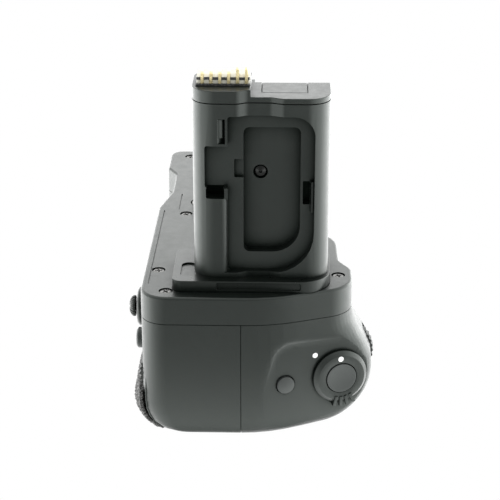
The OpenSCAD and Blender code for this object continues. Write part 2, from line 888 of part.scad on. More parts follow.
module contact_flex() {
    flex_t = 0.3;
    color(amber) {
        translate([flex_x, flex_y, roof_top + board_t])
            cube([flex_t, flex_w, cap_top - flex_t - roof_top - board_t]);
        translate([flex_x, flex_y, cap_top - flex_t])
            cube([flex_l, flex_w, flex_t]);
    }
}

module cover_clip() {
    color(dark)
        translate([floor_x, clip_y, clip_z])
            linear_extrude(clip_h)
                polygon([[0, 0], [clip_t, clip_w - 0.7], [clip_t, clip_w], [0, clip_w]]);
}

module store_screw() {
    color(steel) {
        translate([inner_x - 1.2, store_screw_y, store_screw_z])
            rotate([0, 90, 0])
                cylinder(r = head_r, h = 1.1);
        translate([inner_x - skin - 1, store_screw_y, store_screw_z])
            rotate([0, 90, 0])
                cylinder(r = shank_r, h = skin - 0.2);
    }
}

// Fasteners

module screw(l) {
    cylinder(r = shank_r, h = l);
    translate([0, 0, l])
        cylinder(r = head_r, h = head_h);
}

module plate_screws() {
    short_l = plate_t - head_h - head_sink;
    color(steel) {
        for (s = long_screws)
            translate([s.x, s.y, top_z - head_sink - head_h - shank_l])
                screw(shank_l);
        translate([short_screw.x, short_screw.y, top_z - head_sink - head_h - short_l])
            screw(short_l);
    }
}

module base_screws() {
    color(steel)
        for (s = base_screws_at)
            translate([s.x, s.y, head_sink + head_h + shank_l])
                mirror([0, 0, 1])
                    screw(shank_l);
}

// Camera screw and tripod bush

module tripod_bush() {
    flange_r = bush_r + 2.6;
    color(steel)
        difference() {
            union() {
                cylinder(r = bush_r, h = socket_h);
                translate([0, 0, wall])
                    cylinder(r = flange_r, h = 1.6);
            }
            translate([0, 0, -1])
                cylinder(r = screw_r, h = socket_h);
        }
}

module gear_plate() {
    end_r = 6.4;
    color(steel)
        translate([0, 0, gear_plate_z])
            difference() {
                union() {
                    for (c = [[0, 0], [wheel_x, wheel_y]])
                        translate(c)
                            cylinder(r = end_r, h = gear_plate_t);
                    rotate(mesh_angle)
                        translate([-mesh, 1 - end_r, 0])
                            cube([mesh, 2 * end_r - 2, gear_plate_t]);
                }
                translate([0, 0, -1])
                    cylinder(r = collar_r + run, h = gear_plate_t + 2);
                translate([wheel_x, wheel_y, -1])
                    cylinder(r = wheel_axle_r, h = gear_plate_t + 2);
            }
}

// Spur gear with straight-sided teeth and room for backlash; a tooth lies on the x axis
module gear(teeth) {
    tip = gear_m * teeth / 2 + 0.6 * gear_m;
    root = gear_m * teeth / 2 - 0.9 * gear_m;
    pitch = 360 / teeth;
    linear_extrude(gear_t)
        polygon([
            for (i = [0 : teeth - 1])
                for (c = [[root, -0.27], [tip, -0.11], [tip, 0.11], [root, 0.27]])
                    c[0] * [cos((i + c[1]) * pitch), sin((i + c[1]) * pitch)]
        ]);
}

module camera_screw() {
    tip = 0.8;
    color(steel)
        rotate_extrude()
            polygon([
                [0, roof_top], [pin_r, roof_top], [pin_r, gear_z], [collar_r, gear_z],
                [collar_r, top_z], [screw_r, top_z], [screw_r, top_z + screw_out - tip], [screw_r - tip, top_z + screw_out], [0, top_z + screw_out]
            ]);
}

module screw_gear() {
    color(brass)
        translate([0, 0, gear_z])
            difference() {
                rotate(mesh_angle + 180 + 180 / screw_teeth)
                    gear(screw_teeth);
                translate([0, 0, -1])
                    cylinder(r = collar_r, h = gear_t + 2);
            }
}

module screw_washer() {
    color(steel)
        translate([0, 0, gear_z - washer_t])
            difference() {
                cylinder(r = bearing_r, h = washer_t);
                translate([0, 0, -1])
                    cylinder(r = pin_r, h = washer_t + 2);
            }
}

module thumbwheel() {
    color(dark)
        translate([wheel_x, wheel_y, wheel_z])
            difference() {
                union() {
                    knurled(wheel_r, wheel_t, 56, 0.6);
                    translate([0, 0, wheel_t])
                        cylinder(r = gear_m * wheel_teeth / 2 - 1.2 * gear_m, h = gear_gap);
                    translate([0, 0, wheel_t + gear_gap])
                        rotate(mesh_angle)
                            gear(wheel_teeth);
                }
                translate([0, 0, -1])
                    cylinder(r = wheel_axle_r + run, h = wheel_t + gear_t + 3);
            }
}

module wheel_axle() {
    color(steel)
        translate([wheel_x, wheel_y, roof_top])
            cylinder(r = wheel_axle_r, h = plate_z - roof_top);
}

// Battery chamber and tray

module chamber_frame() {
    frame_x0 = far_x + door_t + 1;
    frame_y0 = tray_y;
    frame_w = tray_w;
    tab = boss_r + 0.4;
    color(dark)
        difference() {
            union() {
                for (z = [frame_z, roof_z])
                    translate([frame_x0, frame_y0, z])
                        cube([frame_x - frame_x0, frame_w, frame_t]);
                translate([frame_x - frame_t, frame_y0, frame_z])
                    cube([frame_t, frame_w, roof_top - frame_z]);
                for (s = long_screws) {
                    inside = [min(max(s.x, frame_x0), frame_x), min(max(s.y, frame_y0), frame_y0 + frame_w)];
                    translate([min(s.x, inside.x) - tab, min(s.y, inside.y) - boss_r, roof_z])
                        cube([abs(s.x - inside.x) + 2 * tab, abs(s.y - inside.y) + 2 * boss_r, frame_t]);
                    translate([s.x, s.y, roof_z])
                        cylinder(r = boss_r, h = plate_z - roof_z);
                }
                for (s = base_screws_at)
                    translate([s.x, s.y, wall])
                        cylinder(r = post_r, h = frame_z - wall + frame_t / 2);
                translate([0, 0, roof_z])
                    cylinder(r = bearing_r, h = gear_z - washer_t - run - roof_z);
            }
            translate([0, 0, roof_top])
                cylinder(r = pin_r + run, h = gear_z);
            for (s = long_screws)
                translate([s.x, s.y, top_z - head_sink - head_h - shank_l - 0.5])
                    cylinder(r = shank_r, h = shank_l + 2);
            for (s = base_screws_at)
                translate([s.x, s.y, wall - 1])
                    cylinder(r = shank_r, h = head_sink + head_h + shank_l + 1.5 - wall);
        }
}

// Y of each of the four contacts of the chamber
function contact_y(i) = tray_y + tray_w / 2 + (i - 1.5) * 5;

module chamber_contacts() {
    color(brass)
        for (i = [0 : 3])
            translate([tray_x + contact_pad + 0.1, contact_y(i) + contact_w / 2, contact_z])
                rotate([90, 0, 0])
                    linear_extrude(contact_w)
                        polygon([
                            [contact_room - contact_pad - 0.1, -4], [contact_room - contact_pad - 0.1, -3.6],
                            [0.4, 0], [contact_room - contact_pad - 0.5, 3.6], [contact_room - contact_pad - 0.9, 3.4],
                            [0, 0.2], [0, -0.2], [contact_room - contact_pad - 0.6, -4]
                        ]);
}

module main_board() {
    x0 = gear_m * screw_teeth / 2 + 6;
    x1 = insert_x1 - 8;
    parts_at = [[6, 8, 9, 9, 1.2], [20, 22, 6, 8, 1.6], [24, 6, 4, 10, 2.2]];
    color(green)
        translate([x0, tray_y + 4, roof_top])
            cube([x1 - x0, tray_w - 10, board_t]);
    color(dark)
        for (p = parts_at)
            translate([x0 + p[0], tray_y + 4 + p[1], roof_top + board_t])
                cube([p[2], p[3], p[4]]);
}

module battery_tray() {
    x0 = far_x + door_t;
    color(dark)
        difference() {
            translate([x0, tray_y, tray_z])
                cube([tray_x - x0, tray_w, tray_t + bay_h]);
            for (x = [bay_x, bay2_x])
                translate([x, tray_y + rail_t, bay_z])
                    cube([bay_l, tray_w - 2 * rail_t, bay_h + 1]);
            translate([x0 - 1, tray_y + rail_t, bay_z])
                cube([bay_x - x0 + 2, tray_w - 2 * rail_t, bay_h + 1]);
            translate([x0 - 1, tray_y - 1, bay_z + rail_h])
                cube([tray_x - x0 - tray_t + 1, tray_w + 2, bay_h]);
            for (x = [bay_x, bay2_x])
                translate([x + bay_l / 2, tray_y + tray_w / 2, tray_z - 1])
                    cylinder(r = 9, h = tray_t + 2);
        }
}

module tray_door() {
    color(charcoal)
        difference() {
            intersection() {
                linear_extrude(top_z)
                    polygon(body_outline(seam_z));
                translate([far_x - 1, door_y0, door_z0])
                    cube([door_t + 1, door_y1 - door_y0, door_z1 - door_z0]);
            }
            latch_axis(-1)
                cylinder(r = latch_r + gap, h = 1 + knob_t);
            latch_axis(-1)
                cylinder(r = spindle_r + run, h = door_t + 2);
        }
}

module tray_contacts() {
    color(brass)
        for (i = [0 : 3])
            translate([tray_x, contact_y(i) - contact_w / 2, contact_z - 3])
                cube([contact_pad, contact_w, 6]);
}

// Latch on the tray's door

// Places on the latch's axis: local z into the body from the door's face
module latch_axis(depth) {
    translate([far_x + depth, latch_y, latch_z])
        rotate([0, 90, 0])
            children();
}

module latch_knob() {
    bar_w = 2.4;
    bowl_r = latch_r - 1.2;
    color(dark)
        difference() {
            union() {
                latch_axis(0)
                    difference() {
                        cylinder(r = latch_r, h = knob_t - 0.2);
                        translate([0, 0, -1])
                            cylinder(r = bowl_r, h = 1 + knob_t - 1);
                    }
                latch_axis(0)
                    translate([-bowl_r - 0.4, -bar_w / 2, 0])
                        cube([2 * bowl_r + 0.8, bar_w, knob_t - 0.5]);
                latch_axis(0.5)
                    cylinder(r = spindle_r, h = door_t - 0.5);
            }
        }
}

module latch_cam() {
    color(steel)
        latch_axis(door_t + 0.2)
            linear_extrude(1.2)
                polygon(rounded([[7, -2, 1, 3], [7, 2, 1, 3], [-3, 2, 1, 3], [-3, -2, 1, 3]]));
}

// Shutter panel

module shutter_button() {
    dish = 30;
    dip = 0.35;
    color(grey)
        on_panel()
            difference() {
                union() {
                    translate([0, 0, flange_z])
                        cylinder(r = shutter_r, h = button_out - flange_z);
                    translate([0, 0, flange_z - flange_t])
                        cylinder(r = shutter_r + 0.7, h = flange_t);
                    translate([0, 0, shutter_stem])
                        cylinder(r = stem_r, h = flange_z - shutter_stem);
                }
                translate([0, 0, button_out + dish - dip])
                    sphere(r = dish, $fn = 96);
            }
}

module lock_ring() {
    edge = 0.6;
    lift_off = 0.25;
    bore = shutter_r + gap;
    tab_r = ring_r + tab_out;
    half = tab_span / 2 + 3;
    color(charcoal)
        on_panel()
            difference() {
                union() {
                    rotate_extrude()
                        polygon([
                            [bore, -hub_l], [hub_r, -hub_l], [hub_r, lift_off], [ring_r, lift_off],
                            [ring_r, ring_h - 2 * edge], [ring_r - 2 * edge, ring_h], [bore, ring_h]
                        ]);
                    for (i = [0 : rib_count - 1])
                        rotate(tab_from - 90 + tab_span * (i / (rib_count - 1) - 0.5))
                            translate([shutter_r + 1.6, -rib_w / 2, lift_off])
                                cube([tab_r - shutter_r - 1.6, rib_w, ring_h + 0.35 - lift_off]);
                    intersection() {
                        translate([0, 0, lift_off])
                            cylinder(r = tab_r - 0.3, h = ring_h - edge - lift_off);
                        rotate(tab_from - 90)
                            linear_extrude(ring_h)
                                polygon(2 * tab_r * [[0, 0], [cos(half), -sin(half)], [cos(half), sin(half)]]);
                    }
                }
                translate([0, 0, -hub_l - 1])
                    cylinder(r = bore, h = ring_h + hub_l + 2);
            }
}

module shutter_housing() {
    bore = shutter_r + 1.2;
    outer = bore + 1.3;
    color(dark)
        on_panel()
            difference() {
                translate([0, 0, board_z])
                    cylinder(r = outer, h = -hub_l - 0.3 - board_z);
                translate([0, 0, housing_z])
                    cylinder(r = bore, h = 20);
            }
}

module shutter_switch() {
    color(dark)
        on_panel(-2.2, -2.2, housing_z)
            cube([4.4, 4.4, switch_t]);
}

module panel_board() {
    color(green)
        on_panel(-5.5, -fn_offset - 4, board_z - board_t)
            cube([12, fn_offset + 9, board_t]);
}

module fn_button() {
    color(grey)
        on_panel(fn_x, -fn_offset, 0) {
            translate([0, 0, fn_flange_z])
                cylinder(r = fn_r, h = fn_out - fn_flange_z);
            translate([0, 0, fn_flange_z - 0.6])
                cylinder(r = fn_r + 0.8, h = 0.6);
            translate([0, 0, fn_stem])
                cylinder(r = 1, h = fn_flange_z - fn_stem);
        }
}

module fn_switch() {
    fn_switch_top = fn_stem - fn_travel - 0.1;
    color(dark)
        on_panel(fn_x - 2, -fn_offset - 2, board_z)
            cube([4, 4, fn_switch_top - board_z]);
}

// Dials

module dial(x, y, z, r) {
    edge = 0.5;
    translate([x - dial_w / 2, y, z])
        rotate([0, 90, 0])
            difference() {
                union() {
                    translate([0, 0, edge])
                        knurled(r, dial_w - 2 * edge, 36, 0.5);
                    cylinder(r = r - 0.8, h = dial_w);
                }
                translate([0, 0, -1])
                    cylinder(r = axle_r + run, h = dial_w + 2);
            }
}

// Axle through both cheeks of a dial's bracket
module dial_axle(x, y, z) {
    l = dial_w + 2 * dial_gap + 2 * cheek_t;
    translate([x - l / 2, y, z])
        rotate([0, 90, 0])
            cylinder(r = axle_r, h = l);
}

// Fork that holds a dial's axle; side is -1 towards the rear wall and 1 towards the nose
module dial_bracket(x, y, z, r, side, reach) {
    inner = dial_w + 2 * dial_gap;
    back = r + gap + 0.5;
    half = axle_r + 2;
    color(dark)
        difference() {
            union() {
                for (s = [-inner / 2 - cheek_t, inner / 2])
                    translate([x + s, side > 0 ? y - back : y - reach, z - half])
                        cube([cheek_t, back + reach, 2 * half]);
                translate([x - inner / 2 - cheek_t, side > 0 ? y - back - cheek_t : y + back, z - half])
                    cube([inner + 2 * cheek_t, cheek_t, 2 * half]);
            }
            translate([x - inner, y, z])
                rotate([0, 90, 0])
                    cylinder(r = axle_r, h = 2 * inner);
        }
}

module front_dial() {
    color(dark)
        dial(front_dial_x, front_dial_y, front_dial_z, front_dial_r);
}

module front_dial_axle() {
    color(steel)
        dial_axle(front_dial_x, front_dial_y, front_dial_z);
}

module front_dial_bracket() {
    dial_bracket(front_dial_x, front_dial_y, front_dial_z, front_dial_r, 1,
        nose_y - wall - 1.6 - front_dial_y);
}

module rear_dial() {
    color(dark)
        dial(rear_dial_x, rear_dial_y, rear_dial_z, rear_dial_r);
}

module rear_dial_axle() {
    color(steel)
        dial_axle(rear_dial_x, rear_dial_y, rear_dial_z);
}

module rear_dial_bracket() {
    dial_bracket(rear_dial_x, rear_dial_y, rear_dial_z, rear_dial_r, -1, rear_dial_y - rear_in - 1.2);
}

// Rear buttons

module rear_board() {
    low = focus_z - 5.4;
    color(green)
        translate([0, rear_board_y, 0])
            rotate([90, 0, 0])
                linear_extrude(rear_board_t)
                    polygon([
                        [joy_x - 6, low], [focus_x + 4.4, low], [focus_x + 4.4, roof_z - gap],
                        [joy_x + 5, roof_z - gap], [joy_x + 5, joy_z + 5.2], [joy_x - 6, joy_z + 5.2]
                    ]);
}

module focus_button() {
    stem = rear_board_face - focus_switch_t - focus_travel - 0.1;
    crown = 0.5;
    color(grey)
        translate([focus_x, 0, focus_z])
            rotate([90, 0, 0])
                rotate_extrude()
                    polygon([
                        [0, -stem], [1, -stem], [1, -rear_in - 0.5], [focus_r + 0.8, -rear_in - 0.5],
                        [focus_r + 0.8, -rear_in - 0.1], [focus_r, -rear_in - 0.1],
                        [focus_r, rear_reach + focus_out - crown], [focus_r - crown, rear_reach + focus_out],
                        [0, rear_reach + focus_out]
                    ]);
}

module focus_switch() {
    color(dark)
        translate([focus_x - 2, rear_board_face - focus_switch_t, focus_z - 2])
            cube([4, focus_switch_t, 4]);
}

module joystick_bezel() {
    color(dark)
        on_rear(joy_x, joy_z)
            rotate_extrude()
                polygon([
                    [sleeve_bore, -wall], [sleeve_r, -wall], [sleeve_r, 0], [bezel_r, 0],
                    [bezel_r, bezel_out - 0.7], [bezel_r - 0.7, bezel_out], [sleeve_bore + 0.4, bezel_out],
                    [sleeve_bore, bezel_out - 0.6]
                ]);
}

module joystick_base() {
    reach = gimbal_r + gap + ear_t;
    color(dark)
        difference() {
            union() {
                translate([joy_x - reach, rear_board_face - joy_base_t, joy_z - reach])
                    cube([2 * reach, joy_base_t, 2 * reach]);
                for (x = [joy_x - reach, joy_x + gimbal_r + gap])
                    translate([x, pivot_y - joy_pin_r - 0.5, joy_z - 1.2])
                        cube([ear_t, rear_board_face - joy_base_t / 2 - pivot_y + joy_pin_r + 0.5, 2.4]);
            }
            translate([joy_x - 10, pivot_y, joy_z])
                rotate([0, 90, 0])
                    cylinder(r = joy_pin_r + run, h = 20);
        }
}

module joystick_gimbal() {
    color(steel)
        difference() {
            union() {
                translate([joy_x, pivot_y + gimbal_t / 2, joy_z])
                    rotate([90, 0, 0])
                        cylinder(r = gimbal_r, h = gimbal_t);
                translate([joy_x - gimbal_r - gap - ear_t, pivot_y, joy_z])
                    rotate([0, 90, 0])
                        cylinder(r = joy_pin_r, h = 2 * (gimbal_r + gap + ear_t));
            }
            translate([joy_x, pivot_y + 2, joy_z])
                rotate([90, 0, 0])
                    cylinder(r = gimbal_bore, h = 4);
            translate([joy_x, pivot_y, joy_z - 5])
                cylinder(r = joy_pin_r + run, h = 10);
        }
}

module joystick() {
    cap_base = rear_reach + bezel_out + cap_gap;
    color(dark) {
        translate([joy_x, -cap_base, joy_z])
            rotate([90, 0, 0])
                knurled(joy_cap_r, joy_cap_h, 22, 0.35);
        translate([joy_x, pivot_y + 0.8, joy_z])
            rotate([90, 0, 0])
                cylinder(r = neck_r, h = cap_base + pivot_y + 0.8 + 0.5);
        translate([joy_x, pivot_y, joy_z - gimbal_r + 0.2])
            cylinder(r = joy_pin_r, h = 2 * gimbal_r - 0.4);
    }
}

// Rubber

// Pad that wraps the lower rear edge: a grid of nx by nz points on its inner and outer faces
module thumb_rest() {
    nx = 18;
    nz = 14;
    x0 = near_x - 48;
    x1 = near_x - 4.6;
    z0 = 0.6;
    rim = 0.4;
    air = 0.3;
    mid = [rear_y + 5, 8];
    half = [5 + thumb_t, 8 - z0];
    function top_edge(x) = rear_dial_z - 5.6 + 4 * ease((near_x - 16 - x) / 14);
    function spot(i, k, out) =
        let (
            u = i / nx,
            v = k / nz,
            x = x0 + (x1 - x0) * u,
            full = (1 - pow(2 * u - 1, 4)) * (0.4 + 0.6 * u),
            a = 262 - 122 * v,
            zi = z0 + (top_edge(x) - z0) * (1 - cos(90 * v)),
            yi = rear_face(x, zi) - air,
            ye = min(mid.x + half.x * cos(a), yi - rim),
            ze = mid.y + half.y * sin(a) + (top_edge(x) - mid.y - half.y * sin(140)) * v * v
        )
        out == 0 ? [x, yi, zi] : [x, yi - rim + (ye - yi + rim) * full, zi + (ze - zi) * full];
    m = nz + 1;
    n = (nx + 1) * m;
    color(rubber)
        polyhedron(
            points = concat(
                [for (i = [0 : nx]) for (k = [0 : nz]) spot(i, k, 0)],
                [for (i = [0 : nx]) for (k = [0 : nz]) spot(i, k, 1)]
            ),
            faces = concat(
                [for (i = [0 : nx - 1]) for (k = [0 : nz - 1]) [i * m + k, (i + 1) * m + k + 1, i * m + k + 1]],
                [for (i = [0 : nx - 1]) for (k = [0 : nz - 1]) [i * m + k, (i + 1) * m + k, (i + 1) * m + k + 1]],
                [for (i = [0 : nx - 1]) for (k = [0 : nz - 1])
                    [n + i * m + k, n + i * m + k + 1, n + (i + 1) * m + k + 1]],
                [for (i = [0 : nx - 1]) for (k = [0 : nz - 1])
                    [n + i * m + k, n + (i + 1) * m + k + 1, n + (i + 1) * m + k]],
                [for (i = [0 : nx - 1]) [n + i * m, n + (i + 1) * m, (i + 1) * m, i * m]],
                [for (i = [0 : nx - 1]) [(i + 1) * m + nz, n + (i + 1) * m + nz, n + i * m + nz, i * m + nz]],
                [for (k = [0 : nz - 1]) [k + 1, n + k + 1, n + k, k]],
                [for (k = [0 : nz - 1]) [n + nx * m + k, n + nx * m + k + 1, nx * m + k + 1, nx * m + k]]
            )
        );
}

module front_pad() {
    air = 0.1;
    z0 = front_r + 0.5;
    z1 = seam_z - 4;
    color(rubber)
        intersection() {
            difference() {
                translate([0, 0, z0])
                    linear_extrude(z1 - z0)
                        polygon(rounded(inset(body_corners(seam_z), -air - pad_t)));
                translate([0, 0, z0 - 1])
                    linear_extrude(z1 - z0 + 2)
                        polygon(rounded(inset(body_corners(seam_z), -air)));
            }
            translate([far_x + 14, front_y - 4, 0])
                cube([near_x - 33 - far_x - 14 - 12, 40, top_z]);
        }
}

top_cover();
rear_casing();
front_casing();
base_plate();
insert_base();
insert_shell();
insert_cap();
contact_seal();
contact_block();
short_blades();
tall_blades();
contact_flex();
cover_clip();
store_screw();
plate_screws();
base_screws();
tripod_bush();
gear_plate();
camera_screw();
screw_gear();
screw_washer();
thumbwheel();
wheel_axle();
chamber_frame();
chamber_contacts();
main_board();
battery_tray();
tray_door();
tray_contacts();
latch_knob();
latch_cam();
shutter_button();
lock_ring();
shutter_housing();
shutter_switch();
panel_board();
fn_button();
fn_switch();
front_dial();
front_dial_axle();
front_dial_bracket();
rear_dial();
rear_dial_axle();
rear_dial_bracket();
rear_board();
focus_button();
focus_switch();
joystick_bezel();
joystick_base();
joystick_gimbal();
joystick();
thumb_rest();
front_pad();
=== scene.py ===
# Camera battery grip: materials, fine detail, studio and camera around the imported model.
import bpy, bmesh, json, math
from mathutils import Matrix, Vector
from mathutils.bvhtree import BVHTree


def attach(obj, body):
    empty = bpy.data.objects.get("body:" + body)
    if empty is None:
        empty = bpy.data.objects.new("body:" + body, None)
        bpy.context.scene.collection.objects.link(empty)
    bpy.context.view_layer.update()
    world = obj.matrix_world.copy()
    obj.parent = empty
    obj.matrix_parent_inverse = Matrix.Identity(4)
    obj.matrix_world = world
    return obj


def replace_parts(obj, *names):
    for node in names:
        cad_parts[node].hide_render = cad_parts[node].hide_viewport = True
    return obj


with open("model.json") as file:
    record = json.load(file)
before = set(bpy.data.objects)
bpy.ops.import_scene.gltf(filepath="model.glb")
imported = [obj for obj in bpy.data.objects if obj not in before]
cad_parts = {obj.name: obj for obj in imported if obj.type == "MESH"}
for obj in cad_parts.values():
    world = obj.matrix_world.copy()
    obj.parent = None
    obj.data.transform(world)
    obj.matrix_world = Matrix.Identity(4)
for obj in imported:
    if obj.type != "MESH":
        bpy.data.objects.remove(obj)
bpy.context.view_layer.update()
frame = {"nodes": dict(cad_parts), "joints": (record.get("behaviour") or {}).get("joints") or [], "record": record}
nodes = frame["nodes"]
joints = {j["name"]: j for j in frame["joints"]}
slot_of = {s["node"]: s["material_slot"] for s in frame["record"]["subparts"]}
scene = bpy.context.scene
MM = 0.001
IN_MM = Matrix.Scale(MM, 4)


# Camera as in the photograph

CAMERA_AT = (0.4833, 0.0287, 0.2243)
CAMERA_LOOK = (-0.92652, -0.02381, -0.37547)
SENSOR_WIDTH = 36
LENS = 108
NEAREST = 0.01

camera = bpy.data.objects.new("camera", bpy.data.cameras.new("camera"))
scene.collection.objects.link(camera)
camera.location = CAMERA_AT
camera.rotation_euler = Vector(CAMERA_LOOK).to_track_quat("-Z", "Y").to_euler()
camera.data.sensor_width = SENSOR_WIDTH
camera.data.lens = LENS
camera.data.clip_start = NEAREST
scene.camera = camera


# Building blocks of the shaders

NOISE_ROUGHNESS = 0.55


def new_material(name):
    """Material, its node tree and its surface node."""
    material = bpy.data.materials.new(name)
    material.use_nodes = True
    tree = material.node_tree
    return material, tree, tree.nodes["Principled BSDF"]


def add(tree, kind, **values):
    """New node; a value goes to the input of that name, or else to the node's own setting."""
    node = tree.nodes.new(kind)
    for key, value in values.items():
        if key in node.inputs:
            node.inputs[key].default_value = value
        else:
            setattr(node, key, value)
    return node


def feed(tree, socket, value):
    """Give a socket a plain value, or link it to another node's output."""
    if isinstance(value, bpy.types.NodeSocket):
        tree.links.new(value, socket)
    else:
        socket.default_value = value


def object_place(tree):
    return add(tree, "ShaderNodeTexCoord").outputs["Object"]


def calculate(tree, operation, a, b):
    """Sum or product of two values or outputs."""
    node = add(tree, "ShaderNodeMath", operation=operation)
    feed(tree, node.inputs[0], a)
    feed(tree, node.inputs[1], b)
    return node.outputs[0]


def noise(tree, place, size, detail=3.0):
    """Noise whose main features are size millimetres across."""
    node = add(tree, "ShaderNodeTexNoise", Scale=1 / (size * MM), Detail=detail, Roughness=NOISE_ROUGHNESS)
    feed(tree, node.inputs["Vector"], place)
    return node.outputs["Fac"]


def spread(tree, value, low, high, from_low=0.3, from_high=0.7):
    """Map the range from_low to from_high onto low to high, and hold the ends."""
    node = add(tree, "ShaderNodeMapRange")
    feed(tree, node.inputs["Value"], value)
    feed(tree, node.inputs["From Min"], from_low)
    feed(tree, node.inputs["From Max"], from_high)
    feed(tree, node.inputs["To Min"], low)
    feed(tree, node.inputs["To Max"], high)
    return node.outputs["Result"]


def tint(tree, share, a, b):
    """Colour between a and b."""
    node = add(tree, "ShaderNodeMix", data_type="RGBA")
    ends = [s for s in node.inputs if s.type == "RGBA"]
    feed(tree, ends[0], a)
    feed(tree, ends[1], b)
    feed(tree, node.inputs[0], share)
    return [s for s in node.outputs if s.type == "RGBA"][0]


def shade(colour, k):
    """The colour made k times as bright."""
    return (colour[0] * k, colour[1] * k, colour[2] * k, 1)


def bump(tree, surface, relief, height, strength=1.0, invert=False):
    """Relief of height mm on the surface."""
    node = add(tree, "ShaderNodeBump", Strength=strength, Distance=height * MM, invert=invert)
    feed(tree, node.inputs["Height"], relief)
    feed(tree, surface.inputs["Normal"], node.outputs["Normal"])


def edge_mask(tree, radius):
    """1 where a rounded normal leaves the true one, at outer and inner edges."""
    rounded = add(tree, "ShaderNodeBevel", samples=4, Radius=radius * MM)
    actual = add(tree, "ShaderNodeNewGeometry")
    likeness = add(tree, "ShaderNodeVectorMath", operation="DOT_PRODUCT")
    feed(tree, likeness.inputs[0], rounded.outputs["Normal"])
    feed(tree, likeness.inputs[1], actual.outputs["Normal"])
    return spread(tree, likeness.outputs["Value"], 1, 0, 0.8, 0.99)


def open_faces(tree, reach):
    """0 deep in a recess, 1 on open faces; it sets where shade is painted into recesses."""
    node = add(tree, "ShaderNodeAmbientOcclusion", samples=6, Distance=reach * MM)
    return spread(tree, node.outputs["AO"], 0, 1, 0.38, 0.92)


# Kinds of material; sizes in mm

CLOUD = 9
RECESS = 6
WORN_EDGE = 0.35
WORN_PATCH = 1.6
WORN_SHADE = 3.2
GLOSS_PATCH = 2.5
PAINTED_SHADE_SHEEN = (0.02, 0.05, 0.03, 1)
SHEEN_OPEN = (0.92, 1.0, 0.95, 1)
CELL_WARP = 2.2
CELL_SMOOTHNESS = 0.35
CELL_PAINTED_SHADE = 0.4
CELL_PAINTED_HIGHLIGHT = 2.3
RUBBER_SPECULAR = 0.35
RUBBER_PATCH = 1.2
TARNISH_PATCH = 2.0
TARNISH_DARK = 0.78
TARNISH_LIGHT = 1.08
MARK_STRENGTH = 0.6
TRACK_STEP = 6
TRACK_DARK = 0.7
TRACK_LIGHT = 1.25
BOARD_PATCH = 3


def moulded(name, colour, rough, grain=0.28, height=0.02, mottle=0.1, wear=0.0, specular=0.5):
    """Moulded plastic with a fine grain, cloudy tone, rubbed outer edges and painted shade that dims its
    reflections in recesses.
    """
    material, tree, surface = new_material(name)
    at = object_place(tree)
    cloud = spread(tree, noise(tree, at, CLOUD, 4.0), 0, 1)
    tone = tint(tree, cloud, shade(colour, 1 - mottle), shade(colour, 1 + mottle))
    is_open = open_faces(tree, RECESS)
    if wear:
        outer = calculate(tree, "MULTIPLY", edge_mask(tree, WORN_EDGE), is_open)
        patches = spread(tree, noise(tree, at, WORN_PATCH), 0, wear, 0.35, 0.65)
        tone = tint(tree, calculate(tree, "MULTIPLY", outer, patches), tone, shade(colour, WORN_SHADE))
    gloss = spread(tree, noise(tree, at, GLOSS_PATCH, 4.0), rough - 0.03, rough + 0.03)
    feed(tree, surface.inputs["Base Color"], tone)
    feed(tree, surface.inputs["Roughness"], gloss)
    feed(tree, surface.inputs["Specular IOR Level"], specular)
    # Painted shade: reflections turn dark deep in recesses, where ambient occlusion finds them.
    feed(tree, surface.inputs["Specular Tint"], tint(tree, is_open, PAINTED_SHADE_SHEEN, SHEEN_OPEN))
    bump(tree, surface, noise(tree, at, grain, 2.0), height)
    return material


def pebbled(name, colour, rough, size, height):
    """Rubber with a leather-like pebble of rounded cells, each crown painted lighter by its own random amount as a
    painted highlight, with painted shade between the cells.
    """
    material, tree, surface = new_material(name)
    at = object_place(tree)
    warp = add(tree, "ShaderNodeTexNoise", Scale=1 / (CELL_WARP * size * MM), Detail=2.0)
    feed(tree, warp.inputs["Vector"], at)
    shift = add(tree, "ShaderNodeVectorMath", operation="MULTIPLY_ADD")
    feed(tree, shift.inputs[0], warp.outputs["Color"])
    feed(tree, shift.inputs[1], (size * MM,) * 3)
    feed(tree, shift.inputs[2], at)
    cells = add(tree, "ShaderNodeTexVoronoi", feature="SMOOTH_F1", Scale=1 / (size * MM),
                Smoothness=CELL_SMOOTHNESS)
    feed(tree, cells.inputs["Vector"], shift.outputs[0])
    from_middle = cells.outputs["Distance"]
    each = add(tree, "ShaderNodeSeparateColor")
    feed(tree, each.inputs[0], cells.outputs["Color"])
    # Painted highlight on the cells' crowns, stronger on some cells than on others; painted shade at their edges.
    crown = spread(tree, from_middle, 1, 0.1, 0.1, 0.6)
    painted_highlight = calculate(tree, "MULTIPLY", crown, spread(tree, each.outputs[0], 0.05, 1, 0.2, 0.8))
    gloss = spread(tree, noise(tree, at, RUBBER_PATCH), rough - 0.1, rough + 0.06)
    tone = tint(tree, painted_highlight, shade(colour, CELL_PAINTED_SHADE), shade(colour, CELL_PAINTED_HIGHLIGHT))
    feed(tree, surface.inputs["Base Color"], tone)
    feed(tree, surface.inputs["Roughness"], gloss)
    feed(tree, surface.inputs["Specular IOR Level"], RUBBER_SPECULAR)
    bump(tree, surface, from_middle, height, invert=True)
    return material


def metal(name, colour, rough, streak=0.25, height=0.006, pure=1.0):
    """Machined metal with turning marks and a little tarnish."""
    material, tree, surface = new_material(name)
    at = object_place(tree)
    marks = noise(tree, at, streak, 4.0)
    tarnish = spread(tree, noise(tree, at, TARNISH_PATCH, 4.0), 0, 1)
    tone = tint(tree, tarnish, shade(colour, TARNISH_DARK), shade(colour, TARNISH_LIGHT))
    feed(tree, surface.inputs["Base Color"], tone)
    feed(tree, surface.inputs["Roughness"], spread(tree, marks, rough - 0.08, rough + 0.12))
    feed(tree, surface.inputs["Metallic"], pure)
    bump(tree, surface, marks, height, strength=MARK_STRENGTH)
    return material


